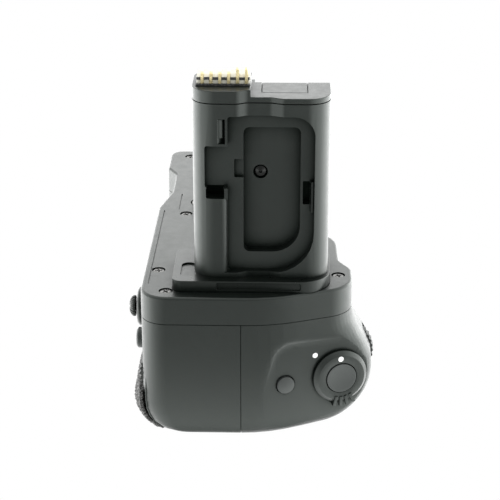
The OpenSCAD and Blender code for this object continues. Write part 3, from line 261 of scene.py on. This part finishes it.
def printed(name, colour, size):
    """Circuit board or film with faint tracks."""
    material, tree, surface = new_material(name)
    at = object_place(tree)
    wave = add(tree, "ShaderNodeTexWave", Scale=1 / (size * TRACK_STEP * MM), Distortion=3.0, Detail=2.0)
    feed(tree, wave.inputs["Vector"], at)
    tracks = spread(tree, wave.outputs["Fac"], 0, 1, 0.45, 0.55)
    tone = tint(tree, tracks, shade(colour, TRACK_DARK), shade(colour, TRACK_LIGHT))
    feed(tree, surface.inputs["Base Color"], tone)
    feed(tree, surface.inputs["Roughness"], spread(tree, noise(tree, at, BOARD_PATCH), 0.3, 0.5))
    return material


MATERIALS = {
    "casing_plastic": moulded("casing_plastic", (0.0045, 0.0062, 0.0052), 0.36, wear=0.3, specular=0.55),
    "dark_plastic": moulded("dark_plastic", (0.0035, 0.0048, 0.004), 0.3, wear=0.25),
    "dial_rubber": moulded("dial_rubber", (0.012, 0.012, 0.012), 0.55, grain=0.2, height=0.015),
    "rubber": pebbled("rubber", (0.06, 0.061, 0.058), 0.5, size=0.6, height=0.12),
    "button_plastic": moulded("button_plastic", (0.03, 0.0325, 0.032), 0.38, grain=0.2, height=0.008,
                              wear=0.12),
    "block_plastic": moulded("block_plastic", (0.5, 0.49, 0.42), 0.45, grain=0.3, height=0.01),
    # Steel kept darker than bare steel: painted shade, so the camera screw's tip stays dark.
    "steel": metal("steel", (0.3, 0.3, 0.29), 0.4),
    "black_steel": metal("black_steel", (0.16, 0.16, 0.155), 0.32),
    "screw_black": metal("screw_black", (0.03, 0.031, 0.03), 0.28),
    "mark": moulded("mark", (0.86, 0.86, 0.85), 0.45, height=0.004, mottle=0.02),
    "gold_contact": metal("gold_contact", (0.95, 0.82, 0.46), 0.3, height=0.002, pure=0.6),
    "brass": metal("brass", (0.72, 0.52, 0.24), 0.32),
    "board": printed("board", (0.02, 0.09, 0.045), size=0.9),
    "flex": printed("flex", (0.4, 0.19, 0.04), size=0.6),
}


# Clean shading on the CAD nodes: welded, edges broken, smooth by angle; lengths in mm, angles in degrees

WELD = 0.002
COPLANAR = 0.05
BEVEL_FROM = 38
SMOOTH_TO = 34
CASING_EDGE = 0.08
FLAT_WEIGHT = 80
SKIN_WEIGHT = 50


def smooth_group(angle):
    """Modifier that shades smooth across edges flatter than angle degrees."""
    group = bpy.data.node_groups.new("smooth_by_%d" % angle, "GeometryNodeTree")
    for way in ("INPUT", "OUTPUT"):
        group.interface.new_socket("Geometry", in_out=way, socket_type="NodeSocketGeometry")
    start = add(group, "NodeGroupInput")
    end = add(group, "NodeGroupOutput")
    plain = add(group, "GeometryNodeRemoveAttribute", Name="custom_normal")
    faces = add(group, "GeometryNodeSetShadeSmooth", domain="FACE")
    edges = add(group, "GeometryNodeSetShadeSmooth", domain="EDGE")
    fold = add(group, "GeometryNodeInputMeshEdgeAngle")
    sharp = add(group, "FunctionNodeCompare", data_type="FLOAT", operation="GREATER_THAN")
    feed(group, sharp.inputs[0], fold.outputs["Unsigned Angle"])
    feed(group, sharp.inputs[1], math.radians(angle))
    feed(group, plain.inputs[0], start.outputs[0])
    feed(group, faces.inputs["Geometry"], plain.outputs[0])
    feed(group, edges.inputs["Geometry"], faces.outputs[0])
    feed(group, edges.inputs["Selection"], sharp.outputs[0])
    feed(group, edges.inputs["Shade Smooth"], False)
    feed(group, end.inputs[0], edges.outputs[0])
    return group


SMOOTH = smooth_group(SMOOTH_TO)


def smooth(o):
    o.modifiers.new("smooth", "NODES").node_group = SMOOTH


def weigh_normals(o, weight):
    """Let the large faces keep their own normals."""
    normals = o.modifiers.new("normals", "WEIGHTED_NORMAL")
    normals.mode = "FACE_AREA_WITH_ANGLE"
    normals.keep_sharp = True
    normals.weight = weight


def dress(o, bevel, flat):
    """Weld the mesh, break its edges by bevel mm and smooth it; flat ones have coplanar triangles joined."""
    o.modifiers.new("weld", "WELD").merge_threshold = WELD * MM
    if flat:
        join = o.modifiers.new("flat", "DECIMATE")
        join.decimate_type = "DISSOLVE"
        join.angle_limit = math.radians(COPLANAR)
    if bevel:
        edges = o.modifiers.new("edges", "BEVEL")
        edges.width = bevel * MM
        edges.segments = 2
        edges.limit_method = "ANGLE"
        edges.angle_limit = math.radians(BEVEL_FROM)
        edges.miter_outer = "MITER_ARC"
    smooth(o)
    if flat:
        weigh_normals(o, FLAT_WEIGHT)


FLAT_EDGES = {
    "top_cover": 0.15, "rear_casing": CASING_EDGE, "insert_shell": 0.25, "insert_cap": 0.25,
    "insert_base": 0.35, "tray_door": 0.3, "contact_block": 0.08, "contact_seal": 0.1, "cover_clip": 0.2,
    "battery_tray": 0.15, "chamber_frame": 0.15, "base_plate": 0.2, "front_pad": 0.3,
}
ROUND_EDGES = {
    "lock_ring": 0.12, "shutter_button": 0.2, "fn_button": 0.2, "focus_button": 0.15, "latch_knob": 0.2,
    "joystick_bezel": 0.2, "thumbwheel": 0.1, "front_dial": 0.08, "rear_dial": 0.08,
}
for name, node in nodes.items():
    node.data.materials.clear()
    node.data.materials.append(MATERIALS[slot_of[name]])
    dress(node, FLAT_EDGES.get(name) or ROUND_EDGES.get(name), name in FLAT_EDGES)


# Rubber with a moulded pebble, pressed into the pad's own surface before it is smoothed

def pebble(o, size, depth, rise, levels):
    fine = o.modifiers.new("fine", "SUBSURF")
    fine.subdivision_type = "SIMPLE"
    fine.levels = fine.render_levels = levels
    cells = bpy.data.textures.new(o.name + "_pebble", "VORONOI")
    cells.noise_scale = size * MM
    cells.noise_intensity = 1.4
    press = o.modifiers.new("pebble", "DISPLACE")
    press.texture = cells
    press.texture_coords = "LOCAL"
    press.mid_level = rise / depth
    press.strength = -depth * MM
    for place, name in enumerate(("fine", "pebble"), 1):
        o.modifiers.move(o.modifiers.find(name), place)


pebble(nodes["thumb_rest"], size=0.8, depth=0.45, rise=0.7, levels=3)


# Building blocks of the fine detail; sizes and places in mm

def box_of(name):
    """Lowest and highest corner of a node."""
    points = [nodes[name].matrix_world @ v.co / MM for v in nodes[name].data.vertices]
    low = Vector([min(p[k] for p in points) for k in range(3)])
    high = Vector([max(p[k] for p in points) for k in range(3)])
    return low, high


def mesh_object(name, bm, material, body, smoothed=True):
    mesh = bpy.data.meshes.new(name)
    bm.normal_update()
    bm.to_mesh(mesh)
    bm.free()
    o = bpy.data.objects.new(name, mesh)
    scene.collection.objects.link(o)
    mesh.materials.append(MATERIALS[material])
    if smoothed:
        smooth(o)
    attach(o, body)
    return o


def turned(x, y, z, angle=0, axis=(0, 0, 1)):
    """Place at x, y, z whose own z lies along the axis, turned about it by angle degrees."""
    facing = Vector(axis).to_track_quat("Z", "Y").to_matrix().to_4x4()
    spin = Matrix.Rotation(math.radians(angle), 4, "Z")
    return Matrix.Translation(Vector((x, y, z)) * MM) @ facing @ spin @ IN_MM


def ring_of(bm, r, z, n, place):
    """n points round the place's own z, at radius r and height z."""
    turns = [math.tau * i / n for i in range(n)]
    return [bm.verts.new(place @ Vector((r * math.cos(a), r * math.sin(a), z))) for a in turns]


def bridge(bm, a, b):
    """Band of faces from ring a to ring b."""
    n = len(a)
    for i in range(n):
        bm.faces.new((a[i], a[(i + 1) % n], b[(i + 1) % n], b[i]))


def loft(bm, rings, foot=True, top=True):
    """Skin over a row of rings, with the ends closed that are asked for."""
    for a, b in zip(rings, rings[1:]):
        bridge(bm, a, b)
    if foot:
        bm.faces.new(rings[0][::-1])
    if top:
        bm.faces.new(rings[-1])


def sheet(bm, rows):
    """Open sheet over rows of points."""
    for a, b in zip(rows, rows[1:]):
        for i in range(len(a) - 1):
            bm.faces.new((a[i], a[i + 1], b[i + 1], b[i]))


def slab(bm, low, high, edge):
    """Plate between two corners with its upper edges broken by edge mm."""
    def outline(inset, z):
        x0, x1, y0, y1 = low.x + inset, high.x - inset, low.y + inset, high.y - inset
        return [bm.verts.new(Vector((x, y, z)) * MM) for x, y in ((x0, y0), (x1, y0), (x1, y1), (x0, y1))]
    steps = ((0, low.z), (0, high.z - edge), (0.3 * edge, high.z - 0.3 * edge), (edge, high.z))
    loft(bm, [outline(inset, z) for inset, z in steps])


def world_mesh(name):
    """Copy of a node's mesh where it stands."""
    bm = bmesh.new()
    bm.from_mesh(nodes[name].data)
    bm.transform(nodes[name].matrix_world)
    return bm


# Screws with cross recesses; their places are x, y and the turn of the cross in degrees

SCREW_SIDES = 32
HEAD_R = 1.9
HEAD_H = 1.1
SHANK_R = 1.1
SHANK_LENGTH = 6.0
SHORT_SHANK = 0.64
PLATE_SCREWS = ((60.1, -10.2, 12), (76.1, -6.8, 40), (-49.4, -7.1, 70), (62.8, 44.7, 25), (-48, 29.7, 55))
SHORT_SCREW = (11.2, -4.9, 33)
BASE_SCREWS = ((-45, -3.1, 20), (-45, 24.7, 65), (60.4, -0.1, 10), (60.4, 24.7, 48))
DOME_SIDES = 36
DOME_R = 1.85
DOME_H = 0.6
DOME_TURN = 20


def cross_recess(bm, place, rim, z, slot, width, deep, narrow):
    """Cross-shaped well in a screw's head, with the head closed from its rim to the well's mouth."""
    arms = []
    for k in range(4):
        c, s = math.cos(k * math.pi / 2), math.sin(k * math.pi / 2)
        arms.append((slot * c + width * s, slot * s - width * c))
        arms.append((slot * c - width * s, slot * s + width * c))
        arms.append((width * (c - s), width * (s + c)))
    mouth = [bm.verts.new(place @ Vector((x, y, z))) for x, y in arms]
    well = [bm.verts.new(place @ Vector((narrow * x, narrow * y, z - deep))) for x, y in arms]
    bridge(bm, mouth, well)
    bm.faces.new(well)
    edges = []
    for loop in (rim, mouth):
        for a, b in zip(loop, loop[1:] + loop[:1]):
            edges.append(bm.edges.get((a, b)) or bm.edges.new((a, b)))
    bmesh.ops.triangle_fill(bm, edges=edges, use_beauty=True)


def cross_screw(bm, place, length=SHANK_LENGTH):
    """Screw with a crowned head whose top is at the place."""
    profile = ((SHANK_R, -HEAD_H - length), (SHANK_R, -HEAD_H), (HEAD_R, -HEAD_H), (HEAD_R, -0.32),
               (HEAD_R - 0.1, -0.14), (HEAD_R - 0.4, 0))
    rings = [ring_of(bm, r, z, SCREW_SIDES, place) for r, z in profile]
    loft(bm, rings, top=False)
    cross_recess(bm, place, rings[-1], 0, slot=1.15, width=0.3, deep=0.75, narrow=0.55)


def dome_screw(bm, place):
    """Round head whose seat is at the place."""
    dome = [(DOME_R * math.cos(a), DOME_H * math.sin(a)) for a in (0, 0.35, 0.65, 0.9, 1.1)]
    rings = [ring_of(bm, r, z, DOME_SIDES, place) for r, z in [(DOME_R, -0.4)] + dome]
    loft(bm, rings, top=False)
    cross_recess(bm, place, rings[-1], dome[-1][1] + 0.12, slot=0.57, width=0.22, deep=0.55, narrow=0.6)


def plate_screw_heads():
    top = box_of("plate_screws")[1].z
    bm = bmesh.new()
    for x, y, angle in PLATE_SCREWS:
        cross_screw(bm, turned(x, y, top, angle))
    x, y, angle = SHORT_SCREW
    cross_screw(bm, turned(x, y, top, angle), SHORT_SHANK)
    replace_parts(mesh_object("plate_screw_heads", bm, "black_steel", "grip"), "plate_screws")


def base_screw_heads():
    bottom = box_of("base_screws")[0].z
    bm = bmesh.new()
    for x, y, angle in BASE_SCREWS:
        cross_screw(bm, turned(x, y, bottom, angle, (0, 0, -1)))
    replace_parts(mesh_object("base_screw_heads", bm, "black_steel", "grip"), "base_screws")


def store_screw_head():
    low, high = box_of("store_screw")
    bm = bmesh.new()
    seat = (high.x - DOME_H, (low.y + high.y) / 2, (low.z + high.z) / 2)
    dome_screw(bm, turned(*seat, DOME_TURN, (1, 0, 0)))
    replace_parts(mesh_object("store_screw_head", bm, "screw_black", "grip"), "store_screw")


plate_screw_heads()
base_screw_heads()
store_screw_head()


# Threads of the tripod bush and the camera screw

PITCH = 1.27
THREAD_ROWS = 10
THREAD_SIDES = 40
RIDGE_NARROW = 1.25
RIDGE_FLAT = 1.15
BUSH_ROOT = 3.15
BUSH_CREST = 2.72
BUSH_RUN = (0.2, 6.4)
BUSH_TAPER = 0.4
SCREW_ROOT = 2.62
SCREW_CREST = 3.175
SCREW_RUN = (46, 51.0)
SCREW_TAPER = 0.5
SCREW_TIP = (0.78 * SCREW_ROOT, 51.6)
SCREW_STEM = ((1.6, 32.95), (1.6, 37.5), (3.575, 37.5), (3.575, 45.9), (SCREW_ROOT, 45.9))


def helix(bm, root, crest, run, taper):
    """Rings of a thread: the radius goes from root to crest on a helix, and fades over taper at both ends."""
    start, end = run
    rows = int((end - start) / PITCH * THREAD_ROWS)
    rings = []
    for j in range(rows + 1):
        z = start + (end - start) * j / rows
        fade = max(0, min(1, (z - start) / taper, (end - z) / taper))
        ring = []
        for i in range(THREAD_SIDES):
            a = math.tau * i / THREAD_SIDES
            turn = (z / PITCH - i / THREAD_SIDES) % 1
            ridge = max(0.0, 1 - abs(2 * turn - 1) * RIDGE_NARROW)
            r = root + (crest - root) * min(1, ridge * RIDGE_FLAT) * fade
            ring.append(bm.verts.new(Vector((r * math.cos(a), r * math.sin(a), z)) * MM))
        rings.append(ring)
    return rings


def tripod_thread():
    bm = bmesh.new()
    loft(bm, helix(bm, BUSH_ROOT, BUSH_CREST, BUSH_RUN, BUSH_TAPER), foot=False, top=False)
    bmesh.ops.reverse_faces(bm, faces=bm.faces)
    mesh_object("tripod_thread", bm, "steel", "grip")


def camera_screw_thread():
    bm = bmesh.new()
    stem = [ring_of(bm, r, z, THREAD_SIDES, IN_MM) for r, z in SCREW_STEM]
    thread = helix(bm, SCREW_ROOT, SCREW_CREST, SCREW_RUN, SCREW_TAPER)
    tip = ring_of(bm, *SCREW_TIP, THREAD_SIDES, IN_MM)
    loft(bm, stem + thread + [tip])
    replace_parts(mesh_object("camera_screw_thread", bm, "steel", "screw"), "camera_screw")


tripod_thread()
camera_screw_thread()


# Control panel, from the lock's middle: its own x points down, its y towards the front, its z outwards

def panel_place():
    lock = joints["lock_turn"]
    angle = math.atan2(lock["axis"][1], lock["axis"][0])
    facing = Matrix.Rotation(angle, 4, "Z") @ Matrix.Rotation(math.radians(90), 4, "Y")
    return Matrix.Translation(Vector(lock["pos_m"])) @ facing


PANEL = panel_place()
OFF_PANEL = PANEL.inverted()
PANEL_OUT = (PANEL.to_3x3() @ Vector((0, 0, 1))).normalized()


# Painted dots of the lock

MARK_R = 0.85
MARK_SIDES = 28
LOCK_MARK_AT = (-7.6, -7.8, 0)
RING_MARK_AT = (-6.3, -0.3, 2.2)


def dot(name, at, body):
    """Index mark, slightly crowned."""
    place = PANEL @ Matrix.Translation(Vector(at) * MM) @ IN_MM
    bm = bmesh.new()
    rings = [ring_of(bm, r, z, MARK_SIDES, place) for r, z in ((MARK_R, 0), (MARK_R - 0.06, 0.05))]
    loft(bm, rings, foot=False)
    mesh_object(name, bm, "mark", body)


dot("lock_mark", LOCK_MARK_AT, "grip")
dot("ring_mark", RING_MARK_AT, "lock")


# Front casing with the brow over the control panel smoothed: its outer face is cut into a fine grid, and each
# point is set to the mean height of the faces round it. Rings are radius and weight, holes x, y and radius.

BROW_X = (-19.4, 17.3)
BROW_Y = (-40, 13)
BROW_DEEPEST = -6
BROW_FACING = 0.05
BROW_FROM_SEAM = 15.8
BROW_RINGS = ((0.4, 0.9), (0.8, 0.65), (1.2, 0.4), (1.7, 0.15))
BROW_STEEPEST = 2.2
LOCK_HOLE = (0, 0, 9.0)
FN_HOLE = (0.8, -17.5, 3.75)
RAY_HEIGHT = 40
ON_SURFACE = 0.02


def crosses(values, limits):
    return max(values) > limits[0] and min(values) < limits[1]


def near_panel(face):
    """True for a face that looks out with the panel and reaches into the area to smooth."""
    at = [OFF_PANEL @ v.co / MM for v in face.verts]
    if face.normal.dot(PANEL_OUT) <= BROW_FACING or max(p.z for p in at) <= BROW_DEEPEST:
        return False
    return crosses([p.x for p in at], BROW_X) and crosses([p.y for p in at], BROW_Y)


def cut_grid(bm, faces):
    """Cut the faces along lines 1 mm apart on the panel; gives back all that they are made of."""
    chosen = set(faces)
    geom = faces + [part for part in [*bm.edges, *bm.verts] if chosen.intersection(part.link_faces)]
    for axis, (start, end) in enumerate((BROW_X, BROW_Y)):
        way = Vector([float(k == axis) for k in range(3)])
        for k in range(1, int(end - start)):
            geom = bmesh.ops.bisect_plane(bm, geom=geom, plane_co=PANEL @ (way * (start + k) * MM),
                                          plane_no=PANEL.to_3x3() @ way, dist=1e-7)["geom"]
    return geom


def brow_height(tree, x, y):
    """Height of the casing over the panel at x, y; None in the holes and off the face to smooth."""
    in_hole = any(math.hypot(x - a, y - b) < r for a, b, r in (LOCK_HOLE, FN_HOLE))
    if in_hole or not BROW_X[0] < x < BROW_X[1]:
        return None
    hit = tree.ray_cast(PANEL @ (Vector((x, y, RAY_HEIGHT)) * MM), -PANEL_OUT)[0]
    if hit is None or hit.y < BROW_FROM_SEAM * MM:
        return None
    return (OFF_PANEL @ hit).z / MM


def mean_height(tree, x, y, height):
    """Mean with opposite pairs of points on rings round x, y, apart from pairs over a steep step."""
    total = height
    share = 1.0
    for r, weight in BROW_RINGS:
        for i in range(6):
            a = math.pi * (i + r) / 6
            pair = [brow_height(tree, x + k * r * math.cos(a), y + k * r * math.sin(a)) for k in (1, -1)]
            if None not in pair and all(abs(p - height) < BROW_STEEPEST * r for p in pair):
                total += weight * sum(pair) / 2
                share += weight
    return total / share


def soften_brow():
    bm = world_mesh("front_casing")
    bmesh.ops.remove_doubles(bm, verts=bm.verts, dist=WELD * MM)
    tree = BVHTree.FromBMesh(bm)
    geom = cut_grid(bm, [f for f in bm.faces if near_panel(f)])
    for v in dict.fromkeys(part for part in geom if isinstance(part, bmesh.types.BMVert)):
        at = OFF_PANEL @ v.co / MM
        height = brow_height(tree, at.x, at.y)
        if height is not None and abs(height - at.z) <= ON_SURFACE:
            at.z = mean_height(tree, at.x, at.y, height)
            v.co = PANEL @ (at * MM)
    skin = mesh_object("front_casing_skin", bm, "casing_plastic", "grip", False)
    dress(skin, CASING_EDGE, False)
    weigh_normals(skin, SKIN_WEIGHT)
    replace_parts(skin, "front_casing")


soften_brow()


# Insert: catch of the cover store, closing plate of the cap and dark strip on the contact block's front, a painted
# shadow of its groove

CATCH_STEPS = 14
CATCH_BACK = 0.07
CATCH_LEFT = 7.25
CATCH_WIDTH = 2.4
CATCH_FOOT = 43.1
CATCH_BULGE = 1.8
CATCH_SWEEP = 0.97
CATCH_ROWS = ((0, 0.25), (0.15, 0), (5.6, 0), (5.75, 0.25))
CAP_PLATE_AT = Vector((3.2, 20.3, 2.51))
CAP_PLATE_SIZE = Vector((10.5, 12.8, 0.51))
CAP_PLATE_EDGE = 0.08
STRIP_BACK = 0.7
STRIP_LOW = Vector((0, 0.05, 1.05))
STRIP_HIGH = Vector((0.06, -0.05, -0.15))
STRIP_EDGE = 0.05


def store_catch():
    """Convex face of the catch, in its slot; its rows are heights and how far they fall back."""
    low, high = box_of("insert_shell")
    bm = bmesh.new()
    rows = []
    for up, fall in CATCH_ROWS:
        row = []
        for i in range(CATCH_STEPS + 1):
            share = i / CATCH_STEPS
            curve = CATCH_BULGE * (1 - math.sqrt(1 - (CATCH_SWEEP * share) ** 2))
            x = high.x - CATCH_BACK - fall - curve
            y = low.y + CATCH_LEFT + CATCH_WIDTH * share
            row.append(bm.verts.new(Vector((x, y, low.z + CATCH_FOOT + up)) * MM))
        rows.append(row)
    sheet(bm, rows)
    mesh_object("store_catch", bm, slot_of["insert_shell"], "grip")


def cap_plate():
    corner = box_of("insert_cap")[0] + CAP_PLATE_AT
    bm = bmesh.new()
    slab(bm, corner, corner + CAP_PLATE_SIZE, CAP_PLATE_EDGE)
    mesh_object("cap_plate", bm, slot_of["insert_cap"], "grip", False)


# Painted shadow: a thin dark slab in the rubber material, laid proud of the block's front over the shaded groove
# under its top.
def contact_shadow_strip():
    low, high = box_of("contact_block")
    low.x = high.x - STRIP_BACK
    bm = bmesh.new()
    slab(bm, low + STRIP_LOW, high + STRIP_HIGH, STRIP_EDGE)
    mesh_object("contact_shadow_strip", bm, "rubber", "grip", False)


store_catch()
cap_plate()
contact_shadow_strip()


# Rear casing: tongue behind the seam at the near end, and lip along the near end of the thumb rest

RAY_X = 120
RAY_Y = -60
TONGUE_HEIGHTS = (0.03, 0.15, 0.3, 0.5, 0.8, 1.2, 1.8, 2.6, 3.6, 5, 8, 14, 20, 26, 32, 37.1)
TONGUE_BEHIND = 0.5
TONGUE_BACK = 1.4
TONGUE_LAP = 0.1
LIP_STEPS = 45
LIP_GAP = 0.7
LIP_FOOT = 0.25
LIP_HEIGHT = 17.5
LIP_R = 0.34
LIP_SIDES = 12
LIP_SPACING = 1.6
LIP_TIP = 0.15
LIP_FADE = 8


def surface_of(name):
    bm = world_mesh(name)
    tree = BVHTree.FromBMesh(bm)
    bm.free()
    return tree


def seam_tongue(casing):
    left = box_of("rear_casing")[1].y - TONGUE_LAP
    right = box_of("front_casing")[0].y + TONGUE_LAP
    outline = ((TONGUE_BACK, left), (TONGUE_BEHIND, left), (TONGUE_BEHIND, right), (TONGUE_BACK, right))
    bm = bmesh.new()
    rows = []
    for z in TONGUE_HEIGHTS:
        hit = casing.ray_cast(Vector((RAY_X, left - TONGUE_LAP, z)) * MM, Vector((-1, 0, 0)))[0]
        if hit:
            rows.append([bm.verts.new((hit.x - back * MM, y * MM, z * MM)) for back, y in outline])
    sheet(bm, rows)
    mesh_object("seam_tongue", bm, "dark_plastic", "grip", False)


def pad_lip(casing):
    """Round bead on the casing that thins out at its upper end."""
    x = box_of("thumb_rest")[1].x + LIP_GAP
    path = []
    for i in range(LIP_STEPS + 1):
        z = LIP_FOOT + LIP_HEIGHT * (i / LIP_STEPS) ** LIP_SPACING
        hit = casing.ray_cast(Vector((x, RAY_Y, z)) * MM, Vector((0, 1, 0)))[0]
        if hit:
            path.append(hit)
    bm = bmesh.new()
    rings = []
    side = Vector((1, 0, 0))
    last = len(path) - 1
    turns = [math.tau * k / LIP_SIDES for k in range(LIP_SIDES)]
    for i, middle in enumerate(path):
        along = (path[min(i + 1, last)] - path[max(i - 1, 0)]).normalized()
        out = along.cross(side)
        r = LIP_R * min(1, LIP_TIP + (last - i) / LIP_FADE) * MM
        rings.append([bm.verts.new(middle + r * (math.cos(a) * side + math.sin(a) * out)) for a in turns])
    loft(bm, rings)
    mesh_object("pad_lip", bm, "casing_plastic", "grip")


rear_surface = surface_of("rear_casing")
seam_tongue(rear_surface)
pad_lip(rear_surface)


# Joystick cap: domed, with a knurled rim and ridges to its crown; its rings are radius, height and groove

CAP_SIDES = 72
CAP_OUT = Vector((0, -6.9, 0))
CROWN_FROM = 1
CROWN_SINK = 0.6
CAP_RINGS = ((1.5, -6.5, 0), (1.5, 0, 0), (2.9, 0, 0.1), (3.3, 0.2, 0.22), (3.35, 0.7, 0.25),
             (3.1, 1.15, 0.25), (2.65, 1.55, 0.22), (2.05, 1.88, 0.2), (1.3, 2.08, 0.14), (0.6, 2.12, 0.05))


def joystick_cap():
    seat = Vector(joints["stick_side"]["pos_m"]) / MM + CAP_OUT
    place = turned(*seat, axis=(0, -1, 0))
    bm = bmesh.new()
    rings = []
    for r, z, groove in CAP_RINGS:
        ring = []
        for i in range(CAP_SIDES):
            a = math.tau * i / CAP_SIDES
            cut = groove * (i % 4 > 1)
            sink = CROWN_SINK * cut * (z > CROWN_FROM)
            at = Vector(((r - cut) * math.cos(a), (r - cut) * math.sin(a), z - sink))
            ring.append(bm.verts.new(place @ at))
        rings.append(ring)
    loft(bm, rings)
    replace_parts(mesh_object("joystick_cap", bm, slot_of["joystick"], "stick"), "joystick")


joystick_cap()


# Studio: pale floor that the camera sees as plain white, soft light all round; places in metres

WHITE = (1, 1, 1, 1)
SKY_FRONT = 0.45
SKY_BACK = 1.6
SKY_LEFT = 0.4
SKY_RIGHT = 2.0
SKY_RUN = (0.0, 0.95)
SKY_LEFT_RUN = (-1, -0.5)
SKY_RIGHT_RUN = (0.5, 1)
FLOOR_HALF = 4
FLOOR_Z = -0.0004
FLOOR_ROUGHNESS = 0.9
FLOOR_PALE = (0.8, 0.8, 0.8, 1)
FLOOR_PAINTED_SHADE = (0.22, 0.22, 0.22, 1)
FLOOR_PAINTED_SHADE_RUN = (0.08, 0.14)
GLOW_RUN = ((0, 1.7), (0.085, 1.7), (0.125, 0.45), (0.16, 0.38), (0.28, 0.42), (0.34, 0.02), (0.5, 0))
GLOW_END = GLOW_RUN[-1][0]
GLOW_TOP = 4
GLOW_LEFT = 2.0
GLOW_RIGHT = 2.5
GLOW_LEFT_RUN = (-0.2, -0.04)
GLOW_RIGHT_RUN = (0.1, 0.25)
MIDDLE = (0.03, 0.015, 0.04)

# Place, size and power of each lamp
LAMPS = {
    "top": ((0.1, 0.05, 0.9), (0.7, 0.7), 0.3),
    "left": ((-0.45, -0.6, 0.25), (0.5, 0.5), 1.0),
    "right": ((-0.45, 0.6, 0.25), (0.5, 0.5), 3.0),
    "back": ((-0.85, 0.03, 0.3), (0.9, 0.5), 1.8),
}


def parts_of(tree, place):
    node = add(tree, "ShaderNodeSeparateXYZ")
    feed(tree, node.inputs[0], place)
    return node.outputs


def plain_to_camera(tree, lit, plain, output):
    """The camera sees the plain shader, and all other rays meet the lit one."""
    mix = add(tree, "ShaderNodeMixShader")
    feed(tree, mix.inputs[0], add(tree, "ShaderNodeLightPath").outputs["Is Camera Ray"])
    feed(tree, mix.inputs[1], lit.outputs[0])
    feed(tree, mix.inputs[2], plain.outputs[0])
    feed(tree, tree.nodes[output].inputs["Surface"], mix.outputs[0])


def floor():
    """Table whose glow changes with the distance towards the camera and grows to both sides; its colour greys
    towards the camera as painted shade.
    """
    mesh = bpy.data.meshes.new("floor")
    corners = [(-FLOOR_HALF, -FLOOR_HALF, 0), (FLOOR_HALF, -FLOOR_HALF, 0),
               (FLOOR_HALF, FLOOR_HALF, 0), (-FLOOR_HALF, FLOOR_HALF, 0)]
    mesh.from_pydata(corners, [], [(0, 1, 2, 3)])
    o = bpy.data.objects.new("floor", mesh)
    scene.collection.objects.link(o)
    o.location.z = FLOOR_Z
    material, tree, surface = new_material("floor")
    at = parts_of(tree, add(tree, "ShaderNodeNewGeometry").outputs["Position"])
    run = add(tree, "ShaderNodeValToRGB")
    feed(tree, run.inputs[0], spread(tree, at["X"], 0, 1, 0, GLOW_END))
    stops = run.color_ramp.elements
    for x, _ in GLOW_RUN[1:-1]:
        stops.new(x / GLOW_END)
    for stop, (_, level) in zip(stops, GLOW_RUN):
        stop.color = shade(WHITE, level / GLOW_TOP)
    glow = calculate(tree, "MULTIPLY", run.outputs[0], GLOW_TOP)
    glow = calculate(tree, "ADD", glow, spread(tree, at["Y"], GLOW_LEFT, 0, *GLOW_LEFT_RUN))
    glow = calculate(tree, "ADD", glow, spread(tree, at["Y"], 0, GLOW_RIGHT, *GLOW_RIGHT_RUN))
    # Painted shade: the floor's colour turns grey towards the camera.
    tone = tint(tree, spread(tree, at["X"], 0, 1, *FLOOR_PAINTED_SHADE_RUN), FLOOR_PALE, FLOOR_PAINTED_SHADE)
    feed(tree, surface.inputs["Base Color"], tone)
    feed(tree, surface.inputs["Roughness"], FLOOR_ROUGHNESS)
    feed(tree, surface.inputs["Emission Color"], WHITE)
    feed(tree, surface.inputs["Emission Strength"], glow)
    plain_to_camera(tree, surface, add(tree, "ShaderNodeEmission", Strength=1.0), "Material Output")
    mesh.materials.append(material)


def sky():
    """Light from all round, more of it from behind the subject and from the sides."""
    world = bpy.data.worlds.new("studio")
    scene.world = world
    world.use_nodes = True
    tree = world.node_tree
    way = parts_of(tree, add(tree, "ShaderNodeTexCoord").outputs["Generated"])
    level = spread(tree, way["X"], SKY_BACK, SKY_FRONT, *SKY_RUN)
    level = calculate(tree, "ADD", level, spread(tree, way["Y"], SKY_LEFT, 0, *SKY_LEFT_RUN))
    level = calculate(tree, "ADD", level, spread(tree, way["Y"], 0, SKY_RIGHT, *SKY_RIGHT_RUN))
    lit = tree.nodes["Background"]
    feed(tree, lit.inputs["Color"], WHITE)
    feed(tree, lit.inputs["Strength"], level)
    plain = add(tree, "ShaderNodeBackground", Color=WHITE, Strength=1.0)
    plain_to_camera(tree, lit, plain, "World Output")


def lamp(name, at, size, power):
    """Soft panel of light towards the middle of the subject, which the camera doesn't see."""
    light = bpy.data.lights.new(name, "AREA")
    light.shape = "RECTANGLE"
    light.size, light.size_y = size
    light.energy = power
    o = bpy.data.objects.new(name, light)
    scene.collection.objects.link(o)
    o.location = at
    o.rotation_euler = (Vector(MIDDLE) - Vector(at)).to_track_quat("-Z", "Y").to_euler()
    o.visible_camera = False


sky()
floor()
for name, (at, size, power) in LAMPS.items():
    lamp(name, at, size, power)
scene.view_settings.view_transform = "Standard"
